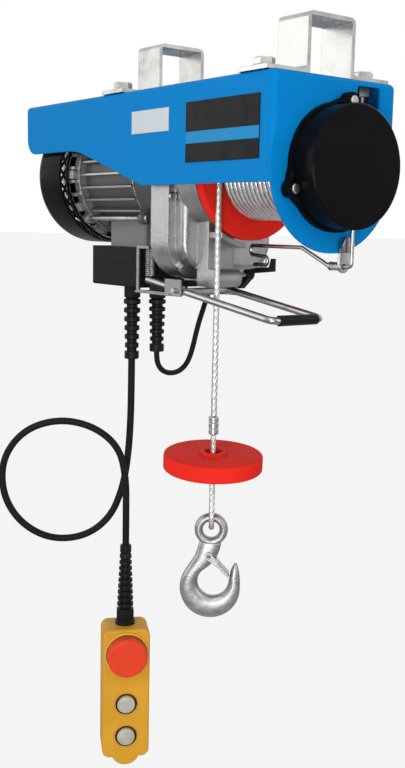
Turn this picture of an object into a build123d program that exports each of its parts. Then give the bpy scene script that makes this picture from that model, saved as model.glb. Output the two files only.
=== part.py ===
from build123d import *
import os
from math import acos, atan2, cos, degrees, pi, radians, sin, sqrt, tan

# An electric wire rope hoist that hangs under a square beam.
# Millimetres. X runs along the beam towards the drum end, Y across it, Z up.
# The origin is on the top plate, midway between the two beam clamps.

# Driving dimensions of the frame
clamp_spacing = 228          # between the two beam clamps
plate_beyond = 30            # end plate beyond the clamp beside it
frame_right = clamp_spacing / 2 + plate_beyond
frame_left = -299            # open end of the frame
frame_width = 154
sheet = 3
bend_radius = 6
panel_depth_drum = 96        # side panels over the drum
panel_depth_motor = 55.5     # side panels over the motor
panel_step_right = -54
panel_step_left = -185
panel_corner = 18
panel_sweep = 130
frame_half = frame_width / 2
wall_inner = frame_half - sheet
nut_window_y = (25, 55)        # opening in the end plate for a spanner on the rear nut
nut_window_z = (-26, -6)

# Main axis, shared by motor, output shaft and drum
axis_z = -81
running = 0.05               # radial clearance of shafts in bearings
clear = 0.3                  # between faces that pass each other
beam = 50
beam_play = 0.5

# Beam clamps and their bolts
clamp_width = 40
clamp_thick = 4
clamp_flange = frame_half - 1
clamp_bend = 6
bolt_r = 5
bolt_hole_r = 5.5
bolt_head_af = 17
bolt_head_h = 6.4
nut_h = 8
washer_r = 10
washer_t = 2
bolt_tail = 5
clamp_bolt_y = wall_inner - washer_r - 2

# Gearbox
centre_distance = 51
counter_z = axis_z - centre_distance
case_left = -54
case_joint = -27
cover_flange_t = 6
cover_face = -6
boss_right = 16
case_half = 67
case_top = -sheet
case_bottom = -189
case_corner_low = 37
case_corner_top = 8
case_wall = 8
cover_inset = 9
module_fast = 1.0
teeth_pinion, teeth_fast = 12, 90
module_slow = 1.5
teeth_slow_pinion, teeth_slow = 10, 58
pressure_angle = radians(20)
profile_shift = 0.4
tip_height = 0.85            # tooth height above the pitch circle, in modules
root_depth = 1.2
backlash = 0.14
fast_gear_x = (-44, -35)
slow_gear_x = (-29, -15)
countershaft_r = 6
gear_shaft_r = 7
boss_r = 64
boss_base_r = case_half - 1
lip_r = 71                   # rope guard lip around the drum flange
lip_t = 5
lip_right = 30
lip_y = (-38, -8)
gear_bolt_x = -40
gear_bolt_gap = 14
gear_bolt_y = 45
gear_bolt_r = 4
gear_bolt_head = 5
screw_r = 2.5
screw_head_r = 4.5
screw_head_h = 3
case_screw_grip = 12
case_screw_inset = 4.5
housing_spigot_r = 27
housing_flange_r = 40
housing_boss_r = 31
rod_slot_len = 20

# Shafts and bearings
drum_shaft_r = 10
drum_shaft_left = -31
drum_shaft_right = frame_right + 18
inner_bearing_r = 26
inner_bearing_x = (0, 14)
end_bearing_r = 23.5
end_bearing_x = (frame_right + 2, frame_right + 16)
motor_shaft_r = 9
motor_bearing_r = 17.5
front_bearing_x = (-66, -56)
rear_bearing_x = (-208, -198)
small_bush_r = 9
small_bush_w = 6

# Drum and rope
flange_r = 68
flange_x = (22, 32)
far_flange_x = (frame_right - 16, frame_right - 10)
drum_core_r = 39.8
drum_wall = 4
rope_d = 6
rope_line_r = 48
turn_pitch = 6.1
turn_count = int((far_flange_x[0] - flange_x[1] - 2) / turn_pitch)
rope_x = 36
rope_y = -rope_line_r
rope_start_z = axis_z - 26      # where the rope has cleared the turns on the drum
ferrule_top = -323
ferrule_len = 18
rope_loop_z = -434.6
loop_knee_z = -424

# Limit weight and hook
weight_r = 50
weight_t = 17
weight_top = -360
weight_hole_r = 9
weight_tilt = 4
sleeve_len = 13
eye_z = -439.6
eye_outer_r = 18.4
eye_inner_r = 8.5
hook_thick = 15
hook_round = 3.5
bowl_z = -503
bowl_r = 31
throat_r = 16
throat_x = 3
throat_z = -494
hook_tip_z = -474
hook_plane_x = (0.6192, 0.7852, 0)
latch_pivot = (-2, -466)
latch_tip = (18.3, -487)
latch_pin_r = 2
latch_t = 2.2
latch_sheet = 1.5
weight_seat = 1.2
weight_ring_r = 15
loop_half = 11.5
loop_bends = [6, 6, 8, 8, 6, 6]

# Motor
fan_cover_x = (-280, -208)
fan_cover_r = 76
fan_cover_wall = 2.5
housing_x = (-198, -96)
housing_r = 57
fin_r = 64
fin_t = 2.2
fin_count = 28
housing_bore = 52
adapter_r = 60
shield_r = 66
stack_x = (-178, -122)
stator_bore = 31
air_gap = 0.6
winding_len = 16
tie_r = 67.6
tie_rod_r = 2.5
lug_r = 6.5
vent_count = 20
vent_w = 12
vent_len = 44
face_vent_r = (26, 58)
cover_round = 10
motor_shaft_left = -266
fan_hub_x = (-258, -236)
fan_hub_r = 14
fan_r = 66
fan_blades = 9
finger_count = 12
finger_w = 9
finger_r = fan_cover_r - fan_cover_wall - clear
finger_len = 12
finger_t = 2
tie_nut_af = 9
tie_nut_h = 5
lug_len = 8

# Electrical box under the motor
terminal_x = (-172, -101)
terminal_y = (-40, 36)
box_x = (-205, -108)
box_y = (-44, 40)
box_top = -160
box_split = -178
box_bottom = -204
box_wall = 2.5
gland_r = 10
gland_thread_r = 7.5
gland_cap_z = -216
gland_body_z = -230
gland_ribs = 8
gland_collar = 9
cable_exit_z = -286
lead_exit_z = -277
terminal_h = 30
capacitor_y = 12
capacitor_r = 16
capacitor_len = 58
pendant_gland_xy = (-139, -31)
mains_gland_xy = (-121, -9)
pendant_cable_d = 8
mains_cable_d = 6.2

# Limit stop under the gearbox
bail_pivot = (-8, -200)
bail_far = (133, -219)
bail_y = (-60, 2)
bail_rod_r = 3.5
bail_sleeve_r = 5
bail_tail = 58
pin_r = 2.5
hub_r = 5.5
bracket_sheet = 2
bracket_left = -79
bracket_bottom = -206
bracket_floor_right = -17
bracket_front_y = -66
bracket_rear_y = 6
bracket_top_y = -40
bracket_ear_right = -57
bracket_ear_top = -157
bracket_post = 4               # width of the front plate's left post
bracket_rim = 3                # its lower rim and upper strip
bracket_open_right = -27       # its opening stops before the bail pivot
bracket_rear_left = -34
bracket_pad_right = -8
tab_depth = 10
switch_x = ((-72, -42), (-38, -18))
switch_y = -48
switch_t = 9
switch_h = 13
lever_w = 7
bail_corner = 8
hub_w = 6
spring_r = 3
spring_play = 0.8
spring_x = (-66, -59)
rod_tip_z = -126
rod_low_z = axis_z - frame_half - 12
rod_high_z = -154
rod_loop_z = -173
rod_dip_x = (frame_right - 55, frame_right - 17)
rod_end_x = 13
rod_bend = 3.5
rod_spring_x = (frame_right - 13, frame_right - 0.6)
rod_spring_r = 4.2
clip_w = 12
clip_t = 3
clip_bolt_z = rod_low_z + 20
clip_head_h = 5
lever_right = 48
lever_horn = 9
lever_foot = (-7, -199)
slack_y = 14
slack_rod_r = 2
lever_hub = (10, -184)
foot_y = (-41, -8)           # foot block cast under the gearbox cover
foot_z = (-196, -178)
foot_right = 26
foot_round = 8
foot_web_top = -120
pin_grip = 12

# End cover
cover_r = frame_half - 21.5
cover_depth = 30
cover_wall = 2.5
cover_base_r = cover_r + cover_wall
cover_base_t = 5
ear_r = 8
ear_circle = cover_r + 4.9
ear_height = 9
ear_angles = (80, 200, 320)

# Pendant
pendant_dir = radians(62)
pendant_shift = (-4.6, 8)    # from the gland, along the cable loop and out of it
cable_loop_dir = (0.552, 0.834)
pendant_w = 55
pendant_top = -599
pendant_bottom = -757
pendant_lobe = -767
pendant_front = 23
pendant_back = -19
pendant_wall = 2.5
stop_z = -627.5
up_z = -690
down_z = -730
stop_r = 23
button_r = 11
recess_r = 13.5
pendant_gland_top = -503.5
lobe_w = 34
stop_collar_h = 3
stop_neck_r = 9
stop_gap = 6
stop_head_h = 11
stop_travel = 4
button_travel = 3
button_proud = 4
contact_w = 26
contact_front = 4
rim_h = 1.8
gland_nut_r = 11
gland_nut_h = 13
gland_base_h = 5

# Plates, left bare
rating_x = (20, frame_right - 16)
rating_z = (-76, -20)
name_x = (-73, -8)
name_z = (-44.5, -22)
plate_t = 0.8

# Mains lead coil behind the back panel
coil_x = -32
coil_y = frame_half + 21
coil_z = -48
coil_r = 36
coil_bundle_r = 7
lead_end_z = coil_z - coil_r - 2
lead_end_x = coil_x - 34
lead_hook_w = 12
hook_sheet = 2
hook_play = 1.5
tie_w = 6
tie_t = 1.6
plug_left = 2
plug_len = 60
plug_sleeve = 26
plug_sleeve_r = 4.5
plug_r = 18.5
plug_pin_gap = 19
plug_pin_r = 2.4
plug_pin_len = 19

main_axis = Axis((0, 0, axis_z), (1, 0, 0))
main_plane = Plane(origin=(0, 0, axis_z), x_dir=(1, 0, 0), z_dir=(0, -1, 0))
counter_axis = Axis((0, 0, counter_z), (1, 0, 0))
counter_plane = Plane(origin=(0, 0, counter_z), x_dir=(1, 0, 0), z_dir=(0, -1, 0))


def across(x):
    """Plane square to the main axis at x: local x is Y, local y is Z."""
    return Plane.YZ.offset(x)


def side(y):
    """Plane along the hoist at y: local x is X, local y is Z, facing the front."""
    return Plane.XZ.offset(-y)


def save(part, name):
    part.label = name
    export_step(part, f"parts/{name}.step")


os.makedirs("parts", exist_ok=True)

# Frame: one folded and welded sheet, a channel with a round ended plate at the drum
with BuildPart() as frame_hollow:
    with BuildSketch(Plane.XY.offset(-sheet)):
        with Locations(((frame_left - 20 + frame_right - sheet) / 2, 0)):
            Rectangle(frame_right - sheet - frame_left + 20, frame_width - 2 * sheet)
    extrude(amount=-2 * panel_depth_drum)
    fillet(frame_hollow.edges().group_by(Axis.Z)[-1].filter_by(Axis.X), bend_radius - sheet)

with BuildPart() as frame:
    with BuildSketch(Plane.XZ) as frame_side:
        with BuildLine():
            Polyline(
                (frame_left, 0), (frame_right, 0), (frame_right, -panel_depth_drum),
                (panel_step_right, -panel_depth_drum), (panel_step_left, -panel_depth_motor),
                (frame_left, -panel_depth_motor), close=True,
            )
        make_face()
        corners = frame_side.vertices()
        fillet(corners.filter_by_position(Axis.X, panel_step_left - 1, panel_step_left + 1),
               panel_sweep)
        corners = frame_side.vertices()
        fillet(corners.filter_by_position(Axis.X, panel_step_right - 1, panel_step_right + 1),
               panel_corner)
        corners = frame_side.vertices().filter_by_position(Axis.X, frame_left - 1, frame_left + 1)
        fillet(corners.sort_by(Axis.Y)[0], panel_corner)
    extrude(amount=frame_half, both=True)
    top_edges = frame.edges().group_by(Axis.Z)[-1]
    fillet(top_edges.filter_by(Axis.X) + top_edges.filter_by(Axis.Y).sort_by(Axis.X)[-1:]
           + frame.edges().filter_by(Axis.Z).group_by(Axis.X)[-1], bend_radius)
    add(frame_hollow.part, mode=Mode.SUBTRACT)
    with BuildSketch(across(frame_right - sheet)):
        with Locations((0, axis_z)):
            Circle(frame_half)
    extrude(amount=sheet)
    with BuildSketch(across(frame_right - sheet)):
        with Locations((0, axis_z)):
            Circle(housing_spigot_r + clear)
    extrude(amount=sheet, mode=Mode.SUBTRACT)
    with BuildSketch(across(frame_right - sheet)):
        with Locations((sum(nut_window_y) / 2, sum(nut_window_z) / 2)):
            RectangleRounded(nut_window_y[1] - nut_window_y[0], nut_window_z[1] - nut_window_z[0], sheet)
    extrude(amount=sheet, mode=Mode.SUBTRACT)
    with GridLocations(clamp_spacing, 2 * clamp_bolt_y, 2, 2):
        Hole(bolt_hole_r)
    with Locations((gear_bolt_x, 0, 0)):
        with GridLocations(gear_bolt_gap, 2 * gear_bolt_y, 2, 2):
            Hole(gear_bolt_r + clear)
save(frame.part, "frame")

# Beam clamps: two hat shaped straps over the beam
strap_half = beam / 2 + beam_play
with BuildPart() as beam_clamps:
    for x in (-clamp_spacing / 2, clamp_spacing / 2):
        with BuildSketch(across(x - clamp_width / 2)) as strap:
            with BuildLine():
                Polyline(
                    (-clamp_flange, 0), (-strap_half, 0), (-strap_half, beam + beam_play),
                    (strap_half, beam + beam_play), (strap_half, 0), (clamp_flange, 0),
                    (clamp_flange, clamp_thick), (strap_half + clamp_thick, clamp_thick),
                    (strap_half + clamp_thick, beam + beam_play + clamp_thick),
                    (-strap_half - clamp_thick, beam + beam_play + clamp_thick),
                    (-strap_half - clamp_thick, clamp_thick), (-clamp_flange, clamp_thick),
                    close=True,
                )
            make_face()
            fillet(strap.vertices().group_by(Axis.Y)[-1], clamp_bend)
            bends = strap.vertices().filter_by_position(Axis.Y, clamp_thick - clear, clamp_thick + clear)
            fillet(bends.filter_by_position(Axis.X, -clamp_flange + 1, clamp_flange - 1), clamp_bend - 2)
        extrude(amount=clamp_width)
    with Locations((0, 0, clamp_thick)):
        with GridLocations(clamp_spacing, 2 * clamp_bolt_y, 2, 2):
            Hole(bolt_hole_r)
save(beam_clamps.part, "beam_clamps")

head_base = clamp_thick + washer_t
with BuildPart() as clamp_bolts:
    with BuildSketch(Plane.XY.offset(head_base)):
        with GridLocations(clamp_spacing, 2 * clamp_bolt_y, 2, 2):
            RegularPolygon(bolt_head_af / 2, 6, major_radius=False)
    extrude(amount=bolt_head_h)
    chamfer(clamp_bolts.edges().group_by(Axis.Z)[-1], 1)
    with BuildSketch(Plane.XY.offset(-sheet - nut_h - bolt_tail)):
        with GridLocations(clamp_spacing, 2 * clamp_bolt_y, 2, 2):
            Circle(bolt_r - running)
    extrude(amount=head_base + sheet + nut_h + bolt_tail)
save(clamp_bolts.part, "clamp_bolts")

# Nuts below the top plate and washers under the bolt heads
with BuildPart() as clamp_nuts:
    with BuildSketch(Plane.XY.offset(clamp_thick)):
        with GridLocations(clamp_spacing, 2 * clamp_bolt_y, 2, 2):
            Circle(washer_r)
            Circle(bolt_r + running, mode=Mode.SUBTRACT)
    extrude(amount=washer_t)
    with BuildSketch(Plane.XY.offset(-sheet)):
        with GridLocations(clamp_spacing, 2 * clamp_bolt_y, 2, 2):
            RegularPolygon(bolt_head_af / 2, 6, major_radius=False)
            Circle(bolt_r, mode=Mode.SUBTRACT)
    extrude(amount=-nut_h)
save(clamp_nuts.part, "clamp_nuts")

# Bearing housing and bearing at the drum end
with BuildPart() as bearing_housing:
    with BuildSketch(main_plane):
        with BuildLine():
            Polyline(
                (frame_right - sheet, drum_shaft_r + 3), (frame_right - sheet, housing_spigot_r),
                (frame_right, housing_spigot_r), (frame_right, housing_flange_r),
                (frame_right + 4, housing_flange_r), (frame_right + 5, housing_boss_r),
                (end_bearing_x[1] + 1, housing_boss_r), (end_bearing_x[1] + 1, end_bearing_r),
                (end_bearing_x[0], end_bearing_r), (end_bearing_x[0], drum_shaft_r + 3), close=True,
            )
        make_face()
    revolve(axis=main_axis)
save(bearing_housing.part, "bearing_housing")


# Bearings: two for the drum shaft, two for the motor shaft, two bushes for the countershaft
with BuildPart() as bearings:
    for (x0, x1), inner, outer in (
        (end_bearing_x, drum_shaft_r, end_bearing_r), (inner_bearing_x, drum_shaft_r, inner_bearing_r),
        (front_bearing_x, motor_shaft_r, motor_bearing_r), (rear_bearing_x, motor_shaft_r, motor_bearing_r),
    ):
        third = (outer - inner) / 3
        with BuildSketch(main_plane):
            with BuildLine():
                Polyline(
                    (x0, inner), (x1, inner), (x1, inner + third), (x1 - 1, inner + third),
                    (x1 - 1, outer - third), (x1, outer - third), (x1, outer), (x0, outer),
                    (x0, outer - third), (x0 + 1, outer - third), (x0 + 1, inner + third),
                    (x0, inner + third), close=True,
                )
            make_face()
        revolve(axis=main_axis)
    for x in (case_left + case_wall - small_bush_w, cover_face - case_wall):
        with BuildSketch(across(x)):
            with Locations((0, counter_z)):
                Circle(small_bush_r)
                Circle(countershaft_r, mode=Mode.SUBTRACT)
        extrude(amount=small_bush_w)
save(bearings.part, "bearings")

# End cover with its three ears, open towards the end plate
ear_points = [(ear_circle * cos(radians(a)), axis_z + ear_circle * sin(radians(a)))
              for a in ear_angles]
with BuildPart() as end_cover:
    with BuildSketch(main_plane):
        with BuildLine():
            Polyline(
                (frame_right, 0), (frame_right, cover_base_r), (frame_right + cover_base_t, cover_base_r),
                (frame_right + cover_base_t, cover_r), (frame_right + cover_depth, cover_r),
                (frame_right + cover_depth, 0), close=True,
            )
        make_face()
    revolve(axis=main_axis)
    with BuildSketch(across(frame_right)):
        with Locations(*ear_points):
            Circle(ear_r)
    extrude(amount=ear_height)
    chamfer(end_cover.edges().group_by(Axis.X)[-1], 1.5)
    with BuildSketch(across(frame_right)):
        with Locations((0, axis_z)):
            Circle(cover_r - cover_wall)
    extrude(amount=cover_depth - cover_wall, mode=Mode.SUBTRACT)
    with BuildSketch(across(frame_right)):
        with Locations(*ear_points):
            Circle(ear_r)
        with Locations((0, axis_z)):
            Circle(cover_r - cover_wall, mode=Mode.SUBTRACT)
    extrude(amount=ear_height)
    with BuildSketch(across(frame_right)):
        with Locations(*ear_points):
            Circle(screw_r + clear)
    extrude(amount=ear_height, mode=Mode.SUBTRACT)
    with BuildSketch(across(frame_right + 5)):
        with Locations((slack_y, axis_z - cover_r)):
            Rectangle(2 * slack_rod_r + 5, 2 * slack_rod_r + 8)
    extrude(amount=rod_slot_len, mode=Mode.SUBTRACT)
save(end_cover.part, "end_cover")

# Gearbox case and cover: rounded blocks that part at the joint plane
screw_y = case_half - case_screw_inset
low_arc = (case_corner_low - case_screw_inset) / sqrt(2)
case_screw_points = [
    (sign * y, z) for sign in (-1, 1) for y, z in (
        (screw_y, case_top - case_corner_top), (screw_y, axis_z - centre_distance / 2),
        (case_half - case_corner_low + low_arc, case_bottom + case_corner_low - low_arc),
    )
]


def case_outline(inset):
    """Outline of the gearbox seen along the main axis, inset on all sides."""
    top, low = case_top - inset, case_bottom + inset
    half = case_half - inset
    Polygon((-half, top), (half, top), (half, low), (-half, low), align=None)


def rounded_outline(x, inset):
    """The gearbox outline with its rounded corners, on the plane at x."""
    with BuildSketch(across(x)) as outline:
        case_outline(inset)
        corners = outline.vertices()
        fillet(corners.group_by(Axis.Y)[0], case_corner_low - inset)
        corners = outline.vertices()
        fillet(corners.group_by(Axis.Y)[-1], max(case_corner_top - inset, 2))
    return outline.sketch


with BuildPart() as gear_case:
    extrude(rounded_outline(case_left, 0), amount=case_joint - case_left)
    fillet(gear_case.edges().group_by(Axis.X)[0], 3)
    extrude(rounded_outline(case_left + case_wall, case_wall), amount=case_joint - case_left - case_wall,
            mode=Mode.SUBTRACT)
    with BuildSketch(across(case_left)):
        with Locations((0, axis_z)):
            Circle(motor_shaft_r + 2)
    extrude(amount=case_wall, mode=Mode.SUBTRACT)
    with BuildSketch(across(case_left + case_wall - small_bush_w)):
        with Locations((0, counter_z)):
            Circle(small_bush_r)
    extrude(amount=small_bush_w, mode=Mode.SUBTRACT)
    with BuildSketch(across(case_joint - case_screw_grip)):
        with Locations(*case_screw_points):
            Circle(screw_r + clear)
    extrude(amount=case_screw_grip, mode=Mode.SUBTRACT)
    with Locations((gear_bolt_x, 0, case_top)):
        with GridLocations(gear_bolt_gap, 2 * gear_bolt_y, 2, 2):
            Hole(gear_bolt_r + clear, depth=case_wall)
save(gear_case.part, "gear_case")

with BuildPart() as gear_cover:
    extrude(rounded_outline(case_joint, 0), amount=cover_flange_t)
    extrude(rounded_outline(case_joint + cover_flange_t, cover_inset),
            amount=cover_face - case_joint - cover_flange_t)
    fillet(gear_cover.edges().group_by(Axis.X)[-1], 6)
    extrude(rounded_outline(case_joint, case_wall + cover_inset), amount=cover_face - case_joint - case_wall,
            mode=Mode.SUBTRACT)
    with BuildSketch(main_plane):
        with BuildLine():
            Polyline(
                (cover_face - case_wall / 2, 0), (cover_face - case_wall / 2, boss_base_r),
                (boss_right, boss_r), (boss_right, 0), close=True,
            )
        make_face()
    revolve(axis=main_axis)
    # Rope guard lip under the front of the drum flange
    with BuildSketch(across(cover_face - case_wall / 2)):
        with Locations((0, axis_z)):
            Circle(lip_r + lip_t)
            Circle(lip_r, mode=Mode.SUBTRACT)
        with Locations(((lip_y[0] + lip_y[1]) / 2, axis_z - lip_r)):
            Rectangle(lip_y[1] - lip_y[0], lip_r, mode=Mode.INTERSECT)
    extrude(amount=lip_right - cover_face + case_wall / 2)
    # Web from the boss down to the foot block, then the block itself
    with BuildSketch(across(cover_face - case_wall / 2)):
        with Locations(((foot_y[0] + foot_y[1]) / 2, (foot_web_top + foot_z[1]) / 2)):
            Rectangle(foot_y[1] - foot_y[0], foot_web_top - foot_z[1] + 1)
    extrude(amount=boss_right - cover_face)
    with BuildSketch(side(foot_y[1])) as foot:
        with Locations(((cover_face + foot_right) / 2, (foot_z[0] + foot_z[1]) / 2)):
            Rectangle(foot_right - cover_face, foot_z[1] - foot_z[0])
        fillet(foot.vertices().group_by(Axis.X)[-1], foot_round)
    extrude(amount=foot_y[1] - foot_y[0])
    # Bores for the output bearing, the shaft and the countershaft bush
    with BuildSketch(across(inner_bearing_x[0])):
        with Locations((0, axis_z)):
            Circle(inner_bearing_r)
    extrude(amount=boss_right - inner_bearing_x[0], mode=Mode.SUBTRACT)
    with BuildSketch(across(case_joint)):
        with Locations((0, axis_z)):
            Circle(drum_shaft_r + 3)
    extrude(amount=boss_right - case_joint, mode=Mode.SUBTRACT)
    with BuildSketch(across(cover_face - case_wall)):
        with Locations((0, counter_z)):
            Circle(small_bush_r)
    extrude(amount=small_bush_w, mode=Mode.SUBTRACT)
    with BuildSketch(across(case_joint)):
        with Locations(*case_screw_points):
            Circle(screw_r + clear)
    extrude(amount=cover_flange_t, mode=Mode.SUBTRACT)
    with BuildSketch(side(foot_y[1])):
        with Locations(lever_hub):
            Circle(pin_r)
    extrude(amount=pin_grip, mode=Mode.SUBTRACT)
save(gear_cover.part, "gear_cover")

# Screws of the gearbox and end cover, and the bolts that hang the gearbox from the top plate
with BuildPart() as case_screws:
    case_grip = case_screw_grip + cover_flange_t
    for x, grip, points in ((case_joint + cover_flange_t, case_grip, case_screw_points),
                            (frame_right + ear_height, ear_height, ear_points)):
        with BuildSketch(across(x)):
            with Locations(*points):
                Circle(screw_head_r)
        extrude(amount=screw_head_h)
        head_face = x + screw_head_h
        fillet(case_screws.edges().filter_by_position(Axis.X, head_face - 0.1, head_face + 0.1), 1)
        with BuildSketch(across(x)):
            with Locations(*points):
                Circle(screw_r)
        extrude(amount=-grip)
    with BuildSketch(Plane.XY):
        with Locations((gear_bolt_x, 0)):
            with GridLocations(gear_bolt_gap, 2 * gear_bolt_y, 2, 2):
                RegularPolygon(gear_bolt_r * 1.6, 6, major_radius=False)
    extrude(amount=gear_bolt_head)
    with BuildSketch(Plane.XY.offset(case_top - case_wall)):
        with Locations((gear_bolt_x, 0)):
            with GridLocations(gear_bolt_gap, 2 * gear_bolt_y, 2, 2):
                Circle(gear_bolt_r)
    extrude(amount=sheet + case_wall)
save(case_screws.part, "case_screws")

# Gear train: motor pinion, countershaft with two gears, output gear on the drum shaft
def involute(angle):
    return tan(angle) - angle


def gear_outline(teeth, module, shift, centre, first_tooth):
    """Involute gear outline as a closed polygon, with one tooth centred on first_tooth."""
    pitch_r = module * teeth / 2
    base_r = pitch_r * cos(pressure_angle)
    tip_r = pitch_r + module * (tip_height + shift)
    root_r = pitch_r - module * (root_depth - shift)
    half = (pi / 2 + 2 * shift * tan(pressure_angle) - backlash) / teeth + involute(pressure_angle)
    foot_r = max(base_r, root_r)
    radii = [foot_r + (tip_r - foot_r) * step / 3 for step in range(4)]
    flank = [(root_r, half - involute(acos(min(1, base_r / foot_r))))] if root_r < base_r else []
    flank += [(r, half - involute(acos(min(1, base_r / r)))) for r in radii]
    tooth = [(r, -a) for r, a in flank] + [(r, a) for r, a in reversed(flank)]
    points = []
    for index in range(teeth):
        turn = first_tooth + 2 * pi * index / teeth
        points += [(centre[0] + r * cos(turn + a), centre[1] + r * sin(turn + a)) for r, a in tooth]
    return points


up, down = pi / 2, -pi / 2
main_centre, counter_centre = (0, axis_z), (0, counter_z)
with BuildPart() as motor_shaft:
    with BuildSketch(main_plane):
        with BuildLine():
            Polyline(
                (motor_shaft_left, 0), (motor_shaft_left, motor_shaft_r - 2),
                (fan_hub_x[1], motor_shaft_r - 2), (fan_hub_x[1], motor_shaft_r - running),
                (fast_gear_x[0] - 1, motor_shaft_r - running), (fast_gear_x[0] - 1, 5),
                (fast_gear_x[1] + 1, 5), (fast_gear_x[1] + 1, 0), close=True,
            )
        make_face()
    revolve(axis=main_axis)
    with BuildSketch(across(fast_gear_x[0] - 1)):
        Polygon(*gear_outline(teeth_pinion, module_fast, profile_shift, main_centre, down), align=None)
    extrude(amount=fast_gear_x[1] - fast_gear_x[0] + 2)
save(motor_shaft.part, "motor_shaft")

with BuildPart() as countershaft_gear:
    with BuildSketch(across(fast_gear_x[0])):
        Polygon(*gear_outline(teeth_fast, module_fast, -profile_shift, counter_centre,
                              up + pi / teeth_fast), align=None)
        with Locations(counter_centre):
            Circle(gear_shaft_r, mode=Mode.SUBTRACT)
            with PolarLocations(teeth_fast * module_fast / 4 + 3, 6):
                Circle(6, mode=Mode.SUBTRACT)
    extrude(amount=fast_gear_x[1] - fast_gear_x[0])
save(countershaft_gear.part, "countershaft_gear")

with BuildPart() as countershaft:
    with BuildSketch(counter_plane):
        with BuildLine():
            Polyline(
                (case_left + case_wall - small_bush_w, 0),
                (case_left + case_wall - small_bush_w, countershaft_r - running),
                (fast_gear_x[0] - 1, countershaft_r - running), (fast_gear_x[0] - 1, gear_shaft_r),
                (fast_gear_x[1] + 1, gear_shaft_r), (fast_gear_x[1] + 1, countershaft_r - running),
                (cover_face - case_wall + small_bush_w, countershaft_r - running),
                (cover_face - case_wall + small_bush_w, 0), close=True,
            )
        make_face()
    revolve(axis=counter_axis)
    with BuildSketch(across(fast_gear_x[1] + 1)):
        Polygon(*gear_outline(teeth_slow_pinion, module_slow, profile_shift, counter_centre, up),
                align=None)
    extrude(amount=slow_gear_x[1] - fast_gear_x[1] - 1)
save(countershaft.part, "countershaft")

with BuildPart() as output_gear:
    with BuildSketch(across(slow_gear_x[0])):
        Polygon(*gear_outline(teeth_slow, module_slow, -profile_shift, main_centre,
                              down + pi / teeth_slow), align=None)
        with Locations(main_centre):
            Circle(drum_shaft_r, mode=Mode.SUBTRACT)
            with PolarLocations(teeth_slow * module_slow / 4 + 4, 6):
                Circle(6.5, mode=Mode.SUBTRACT)
    extrude(amount=slow_gear_x[1] - slow_gear_x[0])
save(output_gear.part, "output_gear")

with BuildPart() as drum_shaft:
    with BuildSketch(main_plane):
        with BuildLine():
            Polyline(
                (drum_shaft_left, 0), (drum_shaft_left, drum_shaft_r), (inner_bearing_x[0] - 1, drum_shaft_r),
                (inner_bearing_x[0] - 1, drum_shaft_r - running),
                (inner_bearing_x[1] + 1, drum_shaft_r - running),
                (inner_bearing_x[1] + 1, drum_shaft_r), (end_bearing_x[0] - 2, drum_shaft_r),
                (end_bearing_x[0] - 2, drum_shaft_r - running),
                (drum_shaft_right, drum_shaft_r - running), (drum_shaft_right, 0), close=True,
            )
        make_face()
    revolve(axis=main_axis)
save(drum_shaft.part, "drum_shaft")

# Drum: hub, hollow core and two flanges
with BuildPart() as drum:
    with BuildSketch(main_plane):
        with BuildLine():
            Polyline(
                (flange_x[0], drum_shaft_r), (flange_x[0], flange_r), (flange_x[1], flange_r),
                (flange_x[1], drum_core_r), (far_flange_x[0], drum_core_r),
                (far_flange_x[0], flange_r - 2), (far_flange_x[1], flange_r - 2),
                (far_flange_x[1], drum_shaft_r), (far_flange_x[0] - drum_wall, drum_shaft_r),
                (far_flange_x[0] - drum_wall, drum_core_r - drum_wall),
                (flange_x[1], drum_core_r - drum_wall), (flange_x[1], drum_shaft_r), close=True,
            )
        make_face()
    revolve(axis=main_axis)
    rims = drum.edges().filter_by(GeomType.CIRCLE).sort_by(SortBy.RADIUS)
    fillet(rims[-2:], 2.5)
save(drum.part, "drum")

# Rope wound on the drum: the turns of one layer over the layer below
wound_left = rope_x - turn_pitch / 2
with BuildPart() as rope_winding:
    with BuildSketch(main_plane):
        with BuildLine():
            start = (wound_left, rope_line_r)
            for index in range(turn_count):
                x = wound_left + index * turn_pitch
                ThreePointArc((x, rope_line_r), (x + turn_pitch / 2, rope_line_r + rope_d / 2),
                              (x + turn_pitch, rope_line_r))
            wound_right = wound_left + turn_count * turn_pitch
            Polyline((wound_right, rope_line_r), (wound_right, drum_core_r), (wound_left, drum_core_r),
                     start)
        make_face()
    revolve(axis=main_axis)
save(rope_winding.part, "rope_winding")

# Motor: rotor, stator, finned housing, end shields, fan and fan cover
with BuildPart() as rotor:
    with BuildSketch(main_plane):
        with BuildLine():
            Polyline(
                (stack_x[0], motor_shaft_r), (stack_x[0] - 6, motor_shaft_r),
                (stack_x[0] - 6, stator_bore - 8), (stack_x[0], stator_bore - 6),
                (stack_x[0], stator_bore - air_gap), (stack_x[1], stator_bore - air_gap),
                (stack_x[1], stator_bore - 6), (stack_x[1] + 6, stator_bore - 8),
                (stack_x[1] + 6, motor_shaft_r), close=True,
            )
        make_face()
    revolve(axis=main_axis)
save(rotor.part, "rotor")

with BuildPart() as stator:
    with BuildSketch(across(stack_x[0])):
        with Locations(main_centre):
            Circle(housing_bore)
            Circle(stator_bore, mode=Mode.SUBTRACT)
            with PolarLocations(stator_bore + 7, 18):
                Rectangle(12, 3.2, mode=Mode.SUBTRACT)
    extrude(amount=stack_x[1] - stack_x[0])
    for x in (stack_x[0] - winding_len, stack_x[1]):
        with BuildSketch(across(x)):
            with Locations(main_centre):
                Circle(housing_bore - 4)
                Circle(stator_bore + 3, mode=Mode.SUBTRACT)
        extrude(amount=winding_len)
save(stator.part, "stator")

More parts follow.
